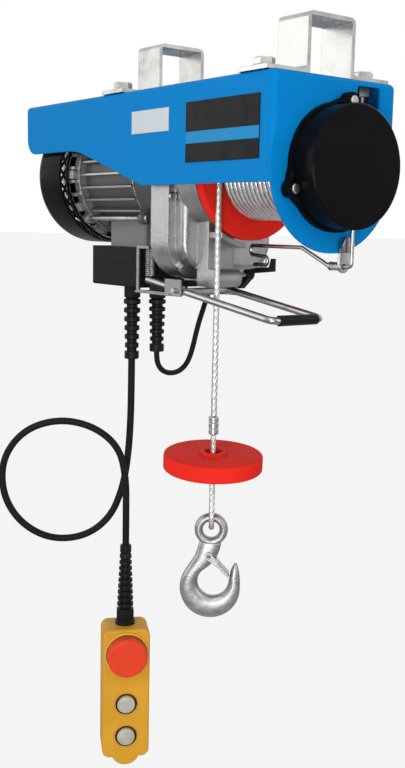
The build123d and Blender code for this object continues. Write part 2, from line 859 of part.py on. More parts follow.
with BuildPart() as motor_housing:
    with BuildSketch(across(housing_x[0])):
        with Locations(main_centre):
            Circle(housing_r)
            with PolarLocations(0, fin_count):
                with Locations(((housing_r + fin_r) / 2 - 1, 0)):
                    Rectangle(fin_r - housing_r + 2, fin_t)
            Circle(fin_r, mode=Mode.INTERSECT)
            Circle(housing_bore, mode=Mode.SUBTRACT)
    extrude(amount=housing_x[1] - housing_x[0])
save(motor_housing.part, "motor_housing")

tie_angles = (45, 135, 225, 315)
tie_points = [(tie_r * cos(radians(a)), axis_z + tie_r * sin(radians(a))) for a in tie_angles]
with BuildPart() as motor_front_shield:
    with BuildSketch(main_plane):
        with BuildLine():
            Polyline(
                (housing_x[1], housing_bore), (housing_x[1], adapter_r), (front_bearing_x[0], adapter_r - 8),
                (case_left, adapter_r - 8), (case_left, motor_bearing_r - 3),
                (front_bearing_x[1], motor_bearing_r - 3), (front_bearing_x[1], motor_bearing_r),
                (front_bearing_x[0], motor_bearing_r), (front_bearing_x[0], motor_bearing_r + 5),
                (front_bearing_x[1] - 4, motor_bearing_r + 5), (front_bearing_x[1] - 4, adapter_r - 14),
                (housing_x[1] + 4, adapter_r - 6), close=True,
            )
        make_face()
    revolve(axis=main_axis)
    with BuildSketch(across(housing_x[1])):
        with Locations(main_centre):
            with PolarLocations(tie_r, 4, start_angle=45):
                Circle(lug_r)
            with PolarLocations(tie_r - lug_r, 4, start_angle=45):
                Rectangle(2 * lug_r, 2 * lug_r)
            Circle(housing_bore, mode=Mode.SUBTRACT)
            with PolarLocations(tie_r, 4, start_angle=45):
                Circle(tie_rod_r + clear, mode=Mode.SUBTRACT)
    extrude(amount=lug_len)
save(motor_front_shield.part, "motor_front_shield")

with BuildPart() as motor_end_shield:
    with BuildSketch(across(rear_bearing_x[0])):
        with Locations(main_centre):
            Circle(shield_r)
            with PolarLocations(tie_r, 4, start_angle=45):
                Circle(lug_r)
            with PolarLocations(0, finger_count):
                with Locations(((shield_r + finger_r) / 2 - 2, 0)):
                    Rectangle(finger_r - shield_r + 4, finger_w)
            Circle(motor_bearing_r, mode=Mode.SUBTRACT)
            with PolarLocations(tie_r, 4, start_angle=45):
                Circle(tie_rod_r + clear, mode=Mode.SUBTRACT)
    extrude(amount=rear_bearing_x[1] - rear_bearing_x[0])
    with BuildSketch(across(rear_bearing_x[0] - finger_len)):
        with Locations(main_centre):
            with PolarLocations(0, finger_count):
                with Locations((finger_r - finger_t / 2, 0)):
                    Rectangle(finger_t, finger_w)
    extrude(amount=finger_len)
save(motor_end_shield.part, "motor_end_shield")

with BuildPart() as motor_tie_rods:
    with BuildSketch(across(rear_bearing_x[0] - tie_nut_h - 2)):
        with Locations(*tie_points):
            Circle(tie_rod_r)
    extrude(amount=housing_x[1] + lug_len - rear_bearing_x[0] + 2 * tie_nut_h + 2)
    with BuildSketch(across(rear_bearing_x[0] - tie_nut_h)):
        with Locations(*tie_points):
            RegularPolygon(tie_nut_af / 2, 6, major_radius=False)
    extrude(amount=tie_nut_h)
    with BuildSketch(across(housing_x[1] + lug_len)):
        with Locations(*tie_points):
            Circle(tie_nut_af / 2)
    extrude(amount=tie_nut_h)
save(motor_tie_rods.part, "motor_tie_rods")

with BuildPart() as cooling_fan:
    with BuildSketch(across(fan_hub_x[0])):
        with Locations(main_centre):
            Circle(fan_hub_r)
            Circle(motor_shaft_r - 2, mode=Mode.SUBTRACT)
    extrude(amount=fan_hub_x[1] - fan_hub_x[0])
    with BuildSketch(across(fan_hub_x[1] - 2)):
        with Locations(main_centre):
            Circle(fan_r - 4)
            Circle(fan_hub_r - 1, mode=Mode.SUBTRACT)
    extrude(amount=2)
    with BuildSketch(across(fan_hub_x[0])):
        with Locations(main_centre):
            with PolarLocations(0, fan_blades):
                with Locations(((fan_hub_r + fan_r) / 2, 0)):
                    Rectangle(fan_r - fan_hub_r + 1, 2)
    extrude(amount=fan_hub_x[1] - fan_hub_x[0])
save(cooling_fan.part, "cooling_fan")

with BuildPart() as fan_cover:
    with BuildSketch(across(fan_cover_x[0])):
        with Locations(main_centre):
            Circle(fan_cover_r)
    extrude(amount=fan_cover_x[1] - fan_cover_x[0])
    fillet(fan_cover.edges().group_by(Axis.X)[0], cover_round)
    with BuildSketch(across(fan_cover_x[1])):
        with Locations(main_centre):
            Circle(fan_cover_r - fan_cover_wall)
    extrude(amount=-(fan_cover_x[1] - fan_cover_x[0] - cover_round), mode=Mode.SUBTRACT)
    with BuildSketch(across(fan_cover_x[0] + cover_round)):
        with Locations(main_centre):
            Circle(fan_cover_r - cover_round)
    extrude(amount=-(cover_round - fan_cover_wall), mode=Mode.SUBTRACT)
    # Air slots round the rim and in the end face
    rim_middle = fan_cover_x[0] + cover_round + 4 + vent_len / 2
    with Locations(Plane(origin=(rim_middle, 0, axis_z), x_dir=(0, 1, 0), z_dir=(1, 0, 0))):
        with PolarLocations(fan_cover_r, vent_count):
            Box(4 * fan_cover_wall, vent_w, vent_len, mode=Mode.SUBTRACT)
    face_middle = fan_cover_x[0] + fan_cover_wall / 2
    with Locations(Plane(origin=(face_middle, 0, axis_z), x_dir=(0, 1, 0), z_dir=(1, 0, 0))):
        with PolarLocations(sum(face_vent_r) / 2, vent_count):
            Box(face_vent_r[1] - face_vent_r[0], vent_w / 3, 2 * fan_cover_wall, mode=Mode.SUBTRACT)
save(fan_cover.part, "fan_cover")

# Terminal base and control box under the motor
terminal_mid = (sum(terminal_x) / 2, sum(terminal_y) / 2)
with BuildPart() as terminal_base:
    with BuildSketch(Plane.XY.offset(box_top)):
        with Locations(terminal_mid):
            Rectangle(terminal_x[1] - terminal_x[0], terminal_y[1] - terminal_y[0])
    extrude(amount=terminal_h)
    fillet(terminal_base.edges().filter_by(Axis.Z), 3)
    with BuildSketch(across(terminal_x[0])):
        with Locations(main_centre):
            Circle(fin_r)
    extrude(amount=terminal_x[1] - terminal_x[0], mode=Mode.SUBTRACT)
save(terminal_base.part, "terminal_base")

box_mid = (sum(box_x) / 2, sum(box_y) / 2)
box_len, box_wide = box_x[1] - box_x[0], box_y[1] - box_y[0]
with BuildPart() as control_box_lid:
    with BuildSketch(Plane.XY.offset(box_top)):
        with Locations(box_mid):
            RectangleRounded(box_len, box_wide, 3)
    extrude(amount=box_split - box_top)
    with BuildSketch(Plane.XY.offset(box_split)):
        with Locations(box_mid):
            Rectangle(box_len - 2 * box_wall, box_wide - 2 * box_wall)
    extrude(amount=box_top - box_split - box_wall, mode=Mode.SUBTRACT)
save(control_box_lid.part, "control_box_top")

with BuildPart() as control_box:
    with BuildSketch(Plane.XY.offset(box_split)):
        with Locations(box_mid):
            RectangleRounded(box_len, box_wide, 3)
    extrude(amount=box_bottom - box_split)
    fillet(control_box.faces().sort_by(Axis.Z)[0].edges(), 2)
    with BuildSketch(Plane.XY.offset(box_split)):
        with Locations(box_mid):
            Rectangle(box_len - 2 * box_wall, box_wide - 2 * box_wall)
    extrude(amount=box_bottom - box_split + box_wall, mode=Mode.SUBTRACT)
    with BuildSketch(Plane.XY.offset(box_bottom)):
        with Locations(pendant_gland_xy, mains_gland_xy):
            Circle(gland_thread_r)
    extrude(amount=box_wall, mode=Mode.SUBTRACT)
save(control_box.part, "control_box")

with BuildPart() as run_capacitor:
    with BuildSketch(Plane.YZ.offset(box_x[0] + box_wall + 1)):
        with Locations((capacitor_y, box_bottom + box_wall + capacitor_r)):
            Circle(capacitor_r)
    extrude(amount=capacitor_len)
    fillet(run_capacitor.edges().filter_by(GeomType.CIRCLE), 2)
save(run_capacitor.part, "run_capacitor")


def gland(xy, bellows_end, collar_end):
    """Cap, ribbed bend relief and end collar of a cable gland, hanging from the control box."""
    x, y = xy
    plane = Plane(origin=(x, y, 0), x_dir=(1, 0, 0), z_dir=(0, -1, 0))
    rib = (bellows_end - gland_body_z) / gland_ribs
    with BuildPart() as body:
        with BuildSketch(plane):
            with BuildLine():
                side_points = [
                    (0, box_bottom + box_wall + 4), (gland_thread_r, box_bottom + box_wall + 4),
                    (gland_thread_r, box_bottom), (gland_r, box_bottom), (gland_r, gland_cap_z),
                    (gland_r - 2, gland_cap_z), (gland_r - 2.5, gland_body_z),
                ]
                for index in range(gland_ribs):
                    z = gland_body_z + index * rib
                    side_points += [(gland_r - 4, z), (gland_r - 4, z + rib * 0.3),
                                    (gland_r - 2.6, z + rib * 0.3), (gland_r - 2.6, z + rib)]
                side_points += [(gland_r - 3.5, bellows_end), (gland_r - 3.5, collar_end),
                                (0, collar_end)]
                Polyline(*side_points, close=True)
            make_face()
        revolve(axis=Axis((x, y, 0), (0, 0, 1)))
    return body.part


save(gland(pendant_gland_xy, cable_exit_z + gland_collar, cable_exit_z), "pendant_cable_gland")
save(gland(mains_gland_xy, lead_exit_z + gland_collar, lead_exit_z), "mains_cable_gland")

# Limit stop: bracket, switches, bail with its sleeve, pins and springs
px, pz = bail_pivot
with BuildPart() as limit_bracket:
    with BuildSketch(side(bracket_front_y + bracket_sheet)):
        with BuildLine():
            Polyline(
                (bracket_left, bracket_bottom), (0, bracket_bottom), (0, case_bottom),
                (bracket_ear_right, case_bottom), (bracket_ear_right, bracket_ear_top),
                (bracket_left, bracket_ear_top), close=True,
            )
        make_face()
        with Locations((px, pz)):
            Circle(pin_r, mode=Mode.SUBTRACT)
        with BuildLine():
            Polyline(
                (bracket_left + bracket_post, bracket_bottom + bracket_rim),
                (bracket_open_right, bracket_bottom + bracket_rim), (bracket_open_right, case_bottom),
                (bracket_ear_right, case_bottom), (bracket_ear_right, bracket_ear_top - bracket_rim),
                (bracket_left + bracket_post, bracket_ear_top - bracket_rim), close=True,
            )
        make_face(mode=Mode.SUBTRACT)
    extrude(amount=bracket_sheet)
    with BuildSketch(side(bracket_rear_y + bracket_sheet)):
        with BuildLine():
            Polyline((bracket_rear_left, bracket_bottom), (0, bracket_bottom), (0, case_bottom),
                     (bracket_rear_left, case_bottom), close=True)
        make_face()
        with Locations((px, pz)):
            Circle(pin_r, mode=Mode.SUBTRACT)
    extrude(amount=bracket_sheet)
    with Locations(((bracket_left + bracket_floor_right) / 2, (bracket_front_y + bracket_rear_y) / 2,
                    bracket_bottom + bracket_sheet / 2)):
        Box(bracket_floor_right - bracket_left,
            bracket_rear_y - bracket_front_y + 2 * bracket_sheet - 0.01, bracket_sheet)
    with Locations(((bracket_rear_left + bracket_pad_right) / 2, (bracket_top_y + bracket_rear_y) / 2,
                    case_bottom - bracket_sheet / 2)):
        Box(bracket_pad_right - bracket_rear_left, bracket_rear_y - bracket_top_y, bracket_sheet)
    with Locations(((bracket_left + bracket_ear_right) / 2, bracket_front_y + tab_depth / 2,
                    bracket_ear_top - bracket_sheet / 2)):
        Box(bracket_ear_right - bracket_left, tab_depth, bracket_sheet)
    fillet(limit_bracket.edges().filter_by(Axis.Y).group_by(Axis.X)[0].sort_by(Axis.Z)[0], 1)
save(limit_bracket.part, "limit_bracket")

with BuildPart() as limit_switches:
    for x0, x1 in switch_x:
        with Locations(((x0 + x1) / 2, switch_y, bracket_bottom + bracket_sheet + switch_h / 2)):
            Box(x1 - x0, switch_t, switch_h)
        with Locations(((x0 + x1) / 2 + 5, switch_y, bracket_bottom + bracket_sheet + switch_h + 1)):
            Box(4, 3, 2)
save(limit_switches.part, "limit_switches")

with BuildPart() as pivot_pins:
    with BuildSketch(side(bracket_rear_y + bracket_sheet + 1)):
        with Locations((px, pz)):
            Circle(pin_r)
    extrude(amount=bracket_rear_y - bracket_front_y + 2 * bracket_sheet + 3)
    with BuildSketch(side(slack_y + lever_w / 2 + 3)):
        with Locations(lever_hub):
            Circle(pin_r)
    extrude(amount=slack_y + lever_w / 2 + 3 - foot_y[1] + pin_grip)
save(pivot_pins.part, "pivot_pins")

bail_slope = (bail_far[1] - pz) / (bail_far[0] - px)
tail = (px - bail_tail, pz - bail_slope * bail_tail)
far_x, far_z = bail_far
front_y, rear_y = bail_y
bail_points = [(tail[0], front_y, tail[1]), (far_x, front_y, far_z), (far_x, rear_y, far_z),
               (px, rear_y, pz)]
with BuildPart() as bail:
    with BuildLine():
        FilletPolyline(*bail_points, radius=bail_corner)
    with BuildSketch(Plane(origin=bail_points[0], z_dir=Vector(*bail_points[1]) - Vector(*bail_points[0]))):
        Circle(bail_rod_r)
    sweep()
    for y in bail_y:
        with BuildSketch(side(y + hub_w / 2)):
            with Locations(bail_pivot):
                Circle(hub_r)
        extrude(amount=hub_w)
        with BuildSketch(side(y + hub_w)):
            with Locations(bail_pivot):
                Circle(pin_r + running)
        extrude(amount=2 * hub_w, mode=Mode.SUBTRACT)
save(bail.part, "bail")

with BuildPart() as bail_sleeve:
    with BuildSketch(side(rear_y - bail_corner)):
        with Locations(bail_far):
            Circle(bail_sleeve_r)
            Circle(bail_rod_r, mode=Mode.SUBTRACT)
    extrude(amount=rear_y - front_y - 2 * bail_corner)
save(bail_sleeve.part, "bail_sleeve")

spring_top = bracket_ear_top - bracket_sheet
with BuildPart() as bail_springs:
    for x in spring_x:
        spring_foot = pz + bail_slope * (x - px) + bail_rod_r + spring_play
        with BuildSketch(Plane.XY.offset(spring_top)):
            with Locations((x, front_y)):
                Circle(spring_r)
        extrude(amount=spring_foot - spring_top)
save(bail_springs.part, "bail_springs")

# Slack rope rod under the drum, its clip, spring and the lever that it presses
rod_route = [
    (frame_right + 12, rod_tip_z), (frame_right + 12, rod_low_z), (rod_dip_x[1], rod_low_z),
    (rod_dip_x[0], rod_high_z), (rod_end_x, rod_high_z), (rod_end_x, rod_high_z - 9),
    (rod_end_x + 26, rod_high_z - 11), (rod_end_x + 26, rod_loop_z), (rod_end_x + 6, rod_loop_z),
]
with BuildPart() as slack_rope_rod:
    with BuildLine():
        FilletPolyline(*[(x, slack_y, z) for x, z in rod_route], radius=rod_bend)
    with BuildSketch(Plane.XY.offset(rod_tip_z)):
        with Locations((frame_right + 12, slack_y)):
            Circle(slack_rod_r)
    sweep()
    with BuildSketch(across(rod_spring_x[0] - 2)):
        with Locations((slack_y, rod_low_z)):
            Circle(rod_spring_r)
    extrude(amount=2)
save(slack_rope_rod.part, "slack_rope_rod")

with BuildPart() as rod_spring:
    with BuildSketch(across(rod_spring_x[0])):
        with Locations((slack_y, rod_low_z)):
            Circle(rod_spring_r)
            Circle(slack_rod_r + running, mode=Mode.SUBTRACT)
    extrude(amount=rod_spring_x[1] - rod_spring_x[0])
save(rod_spring.part, "rod_spring")

# Clip that guides the rod, with its bolt head
with BuildPart() as rod_clip:
    with BuildSketch(across(frame_right)):
        with Locations((slack_y, (rod_low_z + clip_bolt_z) / 2)):
            Rectangle(clip_w, clip_bolt_z - rod_low_z)
        with Locations((slack_y, rod_low_z), (slack_y, clip_bolt_z)):
            Circle(clip_w / 2)
        with Locations((slack_y, rod_low_z)):
            Circle(slack_rod_r + 0.6, mode=Mode.SUBTRACT)
    extrude(amount=clip_t)
    with BuildSketch(across(frame_right + clip_t)):
        with Locations((slack_y, clip_bolt_z)):
            RegularPolygon(clip_w / 2 + 1, 6, major_radius=False)
    extrude(amount=clip_head_h)
save(rod_clip.part, "rod_clip")

hub_x, hub_z = lever_hub
arm_top = rod_loop_z - slack_rod_r - clear
with BuildPart() as trip_lever:
    with BuildSketch(side(slack_y + lever_w / 2)):
        with Locations(lever_hub):
            Circle(hub_r)
        with BuildLine():
            Polyline((hub_x - 2, arm_top - 4), (rod_end_x + 20, arm_top), (lever_right, arm_top),
                     (lever_right, arm_top - 4), (hub_x - 2, arm_top - 8), close=True)
        make_face()
        with BuildLine():
            Polyline((lever_right - 3, arm_top), (lever_right, arm_top + lever_horn),
                     (lever_right, arm_top), close=True)
        make_face()
        with BuildLine():
            Polyline((hub_x - 5, hub_z + 2), (hub_x + 3, hub_z - 4), (lever_foot[0] + 7, lever_foot[1]),
                     (lever_foot[0], lever_foot[1]), close=True)
        make_face()
        with Locations(lever_hub):
            Circle(pin_r + running, mode=Mode.SUBTRACT)
    extrude(amount=lever_w)
save(trip_lever.part, "trip_lever")

# Rope from the drum to the hook, with its loop, ferrules and limit weight
with BuildPart() as hoist_rope:
    with BuildSketch(Plane.XY.offset(ferrule_top)):
        with Locations((rope_x, rope_y)):
            Circle(rope_d / 2)
    extrude(amount=rope_start_z - ferrule_top)
save(hoist_rope.part, "hoist_rope")

eye_normal = Vector(hook_plane_x[1], -hook_plane_x[0], 0)
rope_top = Vector(rope_x, rope_y, 0)


def at_eye(offset, z):
    """A point beside the rope line, in the plane of the rope loop."""
    return rope_top + eye_normal * offset + Vector(0, 0, z)


sleeve_top = weight_top - weight_t - weight_seat
sleeve_low = sleeve_top - sleeve_len
with BuildPart() as rope_loop:
    with BuildLine():
        FilletPolyline(
            at_eye(-rope_d / 2, ferrule_top - ferrule_len), at_eye(-rope_d / 2, sleeve_low - 2),
            at_eye(-loop_half, loop_knee_z), at_eye(-loop_half, rope_loop_z),
            at_eye(loop_half, rope_loop_z), at_eye(loop_half, loop_knee_z),
            at_eye(rope_d / 2, sleeve_low - 2), at_eye(rope_d / 2, ferrule_top - ferrule_len),
            radius=loop_bends,
        )
    with BuildSketch(Plane(origin=at_eye(-rope_d / 2, ferrule_top - ferrule_len), z_dir=(0, 0, -1))):
        Circle(rope_d / 2 - clear / 2)
    sweep()
save(rope_loop.part, "rope_loop")

# Ferrule that closes the loop, and the sleeve below it that the weight rests on
with BuildPart() as rope_ferrules:
    with BuildSketch(Plane.XY.offset(ferrule_top - ferrule_len)):
        with Locations((rope_x, rope_y)):
            Ellipse(rope_d / 2 + 3.5, rope_d / 2 + 2, rotation=degrees(atan2(eye_normal.Y, eye_normal.X)))
    extrude(amount=ferrule_len)
    fillet(rope_ferrules.edges().group_by(Axis.Z)[0] + rope_ferrules.edges().group_by(Axis.Z)[-1], 1)
    with BuildSketch(Plane.XY.offset(sleeve_low)):
        with Locations((rope_x, rope_y)):
            Ellipse(rope_d + 3.5, rope_d / 2 + 3.5, rotation=degrees(atan2(eye_normal.Y, eye_normal.X)))
            with Locations(*[(eye_normal.X * s, eye_normal.Y * s) for s in (-rope_d / 2, rope_d / 2)]):
                Circle(rope_d / 2 - clear / 2, mode=Mode.SUBTRACT)
    extrude(amount=sleeve_len)
save(rope_ferrules.part, "rope_ferrules")

weight_plane = Plane(
    origin=(rope_x, rope_y, weight_top - weight_t), x_dir=(1, 0, 0),
    z_dir=(sin(radians(weight_tilt)), -sin(radians(weight_tilt / 2)), 1),
)
with BuildPart() as limit_weight:
    with BuildSketch(weight_plane):
        Circle(weight_r)
    extrude(amount=weight_t)
    fillet(limit_weight.edges(), 3)
    with BuildSketch(weight_plane):
        Circle(weight_ring_r)
    extrude(amount=weight_t + 2)
    with BuildSketch(weight_plane):
        Circle(weight_hole_r)
    extrude(amount=weight_t + 3, mode=Mode.SUBTRACT)
save(limit_weight.part, "limit_weight")

# Eye hook and its safety latch
hook_plane = Plane(origin=(rope_x, rope_y, 0), x_dir=hook_plane_x, z_dir=tuple(eye_normal))
with BuildPart() as hook:
    with BuildSketch(hook_plane):
        with Locations((0, eye_z)):
            Circle(eye_outer_r)
        with Locations((0, bowl_z)):
            Circle(bowl_r)
        Polygon(
            (-13, eye_z - 8), (13, eye_z - 8), (9, eye_z - 24), (2, throat_z + throat_r + 4),
            (2, throat_z), (-bowl_r + 0.5, bowl_z + 4), (-bowl_r + 5, bowl_z + 17),
            (-12, eye_z - 28), align=None,
        )
        with Locations((throat_x, throat_z)):
            Circle(throat_r, mode=Mode.SUBTRACT)
        Polygon(
            (throat_x - throat_r + 3, throat_z + 6), (-6, eye_z - 42), (0, eye_z - 32), (9, eye_z - 23),
            (bowl_r + 8, eye_z - 20), (bowl_r + 8, hook_tip_z), (bowl_r - 9, hook_tip_z),
            (throat_x + throat_r, throat_z + 3), align=None, mode=Mode.SUBTRACT,
        )
        with Locations((0, eye_z)):
            Circle(eye_inner_r, mode=Mode.SUBTRACT)
    extrude(amount=hook_thick / 2, both=True)
    fillet([edge for edge in hook.edges().filter_by(GeomType.CIRCLE)
            if abs(edge.radius - eye_inner_r) < clear], hook_round)
    with BuildSketch(hook_plane):
        with Locations(latch_pivot):
            Circle(latch_pin_r)
    extrude(amount=hook_thick / 2 + clear + latch_sheet + 1, both=True)
save(hook.part, "hook")

lx, lz = latch_pivot
tx, tz = latch_tip
latch_run = sqrt((tx - lx) ** 2 + (tz - lz) ** 2)
ux, uz = (tx - lx) / latch_run, (tz - lz) / latch_run
cheek_in = hook_thick / 2 + clear


def beside_latch(along, aside):
    """A point in the hook plane, measured along the latch from its pin."""
    return (lx + ux * along - uz * aside, lz + uz * along + ux * aside)


with BuildPart() as hook_latch:
    with BuildSketch(hook_plane):
        Polygon(beside_latch(13, -latch_t / 2), beside_latch(latch_run, -latch_t / 2),
                beside_latch(latch_run, latch_t / 2), beside_latch(13, latch_t / 2), align=None)
    extrude(amount=cheek_in + latch_sheet, both=True)
    for offset in (cheek_in, -cheek_in - latch_sheet):
        with BuildSketch(hook_plane.offset(offset)):
            Polygon(beside_latch(0, -4), beside_latch(16, -latch_t / 2), beside_latch(16, latch_t / 2),
                    beside_latch(0, 4), align=None)
            with Locations(latch_pivot):
                Circle(4)
                Circle(latch_pin_r + running, mode=Mode.SUBTRACT)
        extrude(amount=latch_sheet)
save(hook_latch.part, "hook_latch")

# Pendant: two shells, contact blocks, stop button, two push buttons and its cable gland
def beside_gland(along, out):
    """A point beside the cable gland, measured along the cable loop and out of its plane."""
    return (pendant_gland_xy[0] + cable_loop_dir[0] * along + cable_loop_dir[1] * out,
            pendant_gland_xy[1] + cable_loop_dir[1] * along - cable_loop_dir[0] * out)


pendant_x_dir = (cos(pendant_dir), sin(pendant_dir), 0)
pendant_out = Vector(sin(pendant_dir), -cos(pendant_dir), 0)
pendant_x, pendant_y = beside_gland(*pendant_shift)


def pendant_plane(depth):
    """Plane square to the pendant's front, depth in front of its joint."""
    origin = Vector(pendant_x, pendant_y, 0) + pendant_out * depth
    return Plane(origin=origin, x_dir=pendant_x_dir, z_dir=tuple(pendant_out))


def pendant_outline(depth, inset):
    with BuildSketch(pendant_plane(depth)) as outline:
        with Locations((0, (pendant_top + pendant_bottom) / 2)):
            RectangleRounded(pendant_w - 2 * inset, pendant_top - pendant_bottom - 2 * inset, 9 - inset)
        with Locations((0, pendant_lobe + lobe_w / 2)):
            Circle(lobe_w / 2 - inset)
    return outline.sketch


with BuildPart() as pendant_front_shell:
    extrude(pendant_outline(0, 0), amount=pendant_front)
    fillet(pendant_front_shell.edges().filter_by_position(
        Axis(pendant_plane(0).origin, tuple(pendant_out)), pendant_front - 0.1, pendant_front + 0.1), 3)
    extrude(pendant_outline(0, pendant_wall), amount=pendant_front - pendant_wall, mode=Mode.SUBTRACT)
    with BuildSketch(pendant_plane(pendant_front)):
        with Locations((0, stop_z)):
            Circle(stop_r + 2.5)
            Circle(stop_r + 1, mode=Mode.SUBTRACT)
    extrude(amount=stop_collar_h)
    with BuildSketch(pendant_plane(pendant_front)):
        with Locations((0, up_z), (0, down_z)):
            Circle(recess_r)
    extrude(amount=rim_h)
    with BuildSketch(pendant_plane(0)):
        with Locations((0, stop_z)):
            Circle(stop_neck_r + clear)
        with Locations((0, up_z), (0, down_z)):
            Circle(button_r + clear)
    extrude(amount=pendant_front + rim_h, mode=Mode.SUBTRACT)
    with BuildSketch(Plane.XY.offset(pendant_top)):
        with Locations((pendant_x, pendant_y)):
            Circle(gland_thread_r)
    extrude(amount=-pendant_wall, mode=Mode.SUBTRACT)
save(pendant_front_shell.part, "pendant_front")

with BuildPart() as pendant_back_shell:
    extrude(pendant_outline(0, 0), amount=pendant_back)
    fillet(pendant_back_shell.edges().filter_by_position(
        Axis(pendant_plane(0).origin, tuple(pendant_out)), pendant_back - 0.1, pendant_back + 0.1), 3)
    extrude(pendant_outline(0, pendant_wall), amount=pendant_back + pendant_wall, mode=Mode.SUBTRACT)
    with BuildSketch(Plane.XY.offset(pendant_top)):
        with Locations((pendant_x, pendant_y)):
            Circle(gland_thread_r)
    extrude(amount=-pendant_wall, mode=Mode.SUBTRACT)
save(pendant_back_shell.part, "pendant_back")

with BuildPart() as pendant_contacts:
    with BuildSketch(pendant_plane(pendant_back + pendant_wall)):
        for z in (stop_z, up_z, down_z):
            with Locations((0, z)):
                Rectangle(contact_w, contact_w)
    extrude(amount=-pendant_back - pendant_wall + contact_front)
save(pendant_contacts.part, "pendant_contacts")

with BuildPart() as stop_button:
    with BuildSketch(pendant_plane(contact_front + stop_travel + clear)):
        with Locations((0, stop_z)):
            Circle(stop_neck_r)
    extrude(amount=pendant_front + stop_gap - contact_front - stop_travel)
    with BuildSketch(pendant_plane(pendant_front + stop_gap)):
        with Locations((0, stop_z)):
            Circle(stop_r)
    extrude(amount=stop_head_h)
    fillet(stop_button.edges().filter_by_position(
        Axis(pendant_plane(0).origin, tuple(pendant_out)), pendant_front + stop_gap + stop_head_h - 0.1,
        pendant_front + stop_gap + stop_head_h + 0.1), 3.5)
save(stop_button.part, "stop_button")

for name, z in (("up_button", up_z), ("down_button", down_z)):
    with BuildPart() as button:
        with BuildSketch(pendant_plane(contact_front + button_travel + clear)):
            with Locations((0, z)):
                Circle(button_r)
        extrude(amount=pendant_front + button_proud - contact_front - button_travel)
        fillet(button.edges().filter_by_position(
            Axis(pendant_plane(0).origin, tuple(pendant_out)), pendant_front + button_proud,
            pendant_front + button_proud + 1), 4)
    save(button.part, name)

nut_top = pendant_top + gland_base_h + gland_nut_h
with BuildPart() as pendant_gland:
    with BuildSketch(Plane(origin=(pendant_x, pendant_y, 0), x_dir=(1, 0, 0), z_dir=(0, -1, 0))):
        with BuildLine():
            pitch = (pendant_gland_top - 10 - nut_top) / gland_ribs
            boot = [(0, pendant_gland_top), (6.5, pendant_gland_top),
                    (6.5, pendant_gland_top - 10)]
            for index in range(gland_ribs):
                z = pendant_gland_top - 10 - index * pitch
                swell = 6 + 2.5 * index / gland_ribs
                boot += [(swell - 1.2, z), (swell - 1.2, z - pitch * 0.3),
                         (swell + 0.8, z - pitch * 0.3), (swell + 0.8, z - pitch)]
            boot += [(gland_nut_r, nut_top), (gland_nut_r, pendant_top + gland_base_h),
                     (gland_nut_r + 0.5, pendant_top + gland_base_h), (gland_nut_r + 0.5, pendant_top),
                     (gland_thread_r, pendant_top), (gland_thread_r, pendant_top - 8),
                     (0, pendant_top - 8)]
            Polyline(*boot, close=True)
        make_face()
    revolve(axis=Axis((pendant_x, pendant_y, 0), (0, 0, 1)))
save(pendant_gland.part, "pendant_gland")

# Plates on the front panel
with BuildPart() as label_plates:
    with BuildSketch(side(-frame_half)):
        for (x0, x1), (z0, z1) in ((rating_x, rating_z), (name_x, name_z)):
            with Locations(((x0 + x1) / 2, (z0 + z1) / 2)):
                RectangleRounded(x1 - x0, z1 - z0, 1.5)
    extrude(amount=plate_t)
save(label_plates.part, "label_plates")


# Cords
def corner_radii(points):
    """As large an arc at each corner of a route as its two runs allow."""
    radii = []
    for a, b, c in zip(points, points[1:], points[2:]):
        before, after = Vector(*b) - Vector(*a), Vector(*c) - Vector(*b)
        half_turn = radians(before.get_angle(after)) / 2
        radii.append(0.45 * min(before.length, after.length) / tan(half_turn))
    return radii


def cord(points, diameter, name):
    """Round cord of straight runs joined by tangent arcs."""
    radii = corner_radii(points)
    with BuildPart() as tube:
        with BuildLine() as path:
            FilletPolyline(*points, radius=radii)
        with BuildSketch(Plane(origin=points[0], z_dir=Vector(*points[1]) - Vector(*points[0]))):
            Circle(diameter / 2)
        sweep()
    length = sum(edge.length for edge in path.edges())
    section = pi * diameter ** 2 / 4
    print(name, "length", round(length, 1), "radii in diameters",
          [round(r / diameter, 1) for r in radii], "volume ratio",
          round(tube.part.volume / (section * length), 4))
    save(tube.part, name)


# Pendant cable: down from its gland, once round a loose loop, down to the pendant
cable_points = [
    (0, 0, cable_exit_z), (0, 0, -320), (-0.5, -2, -360), (-3, -5, -402), (-9, -7, -440),
    (-23, -6, -475), (-52, -3, -497), (-92, -1, -500), (-127, 0, -480), (-147, 0, -446),
    (-147, 1, -403), (-122, 2, -369), (-82, 3, -356), (-42, 5, -364), (-13, 7, -388),
    (-5, 8, -424), (*pendant_shift, -464), (*pendant_shift, pendant_gland_top),
]
cord([(*beside_gland(along, out), z) for along, out, z in cable_points], pendant_cable_d, "pendant_cable")

# Mains lead: a tight turn below its gland, then up behind the motor to the hanging coil
lead_points = [
    (*mains_gland_xy, lead_exit_z), (*mains_gland_xy, -288), (-122.4, -2.5, -298), (-124.8, 8, -303.5),
    (-127.8, 21.5, -305), (-130.8, 34.5, -302), (-133.2, 45.5, -293), (-134.9, 53, -277),
    (-137, 61.5, -251), (-139, 73, -226), (-140.5, 84, -199), (-141, 92, -171), (-137, coil_y, -143),
    (-126, coil_y, -117), (-108, coil_y, -97), (-88, coil_y, lead_end_z), (lead_end_x, coil_y, lead_end_z),
]
cord(lead_points, mains_cable_d, "mains_lead")

with BuildPart() as mains_coil:
    with BuildSketch(Plane(origin=(coil_x, coil_y, coil_z), x_dir=(1, 0, 0), z_dir=(0, 0, 1))):
        with Locations((coil_r, 0)):
            Circle(coil_bundle_r)
    revolve(axis=Axis((coil_x, coil_y, coil_z), (0, 1, 0)))
    with BuildSketch(across(lead_end_x)):
        with Locations((coil_y, lead_end_z)):
            Circle(mains_cable_d / 2)
    extrude(amount=plug_left - lead_end_x)
save(mains_coil.part, "mains_coil")

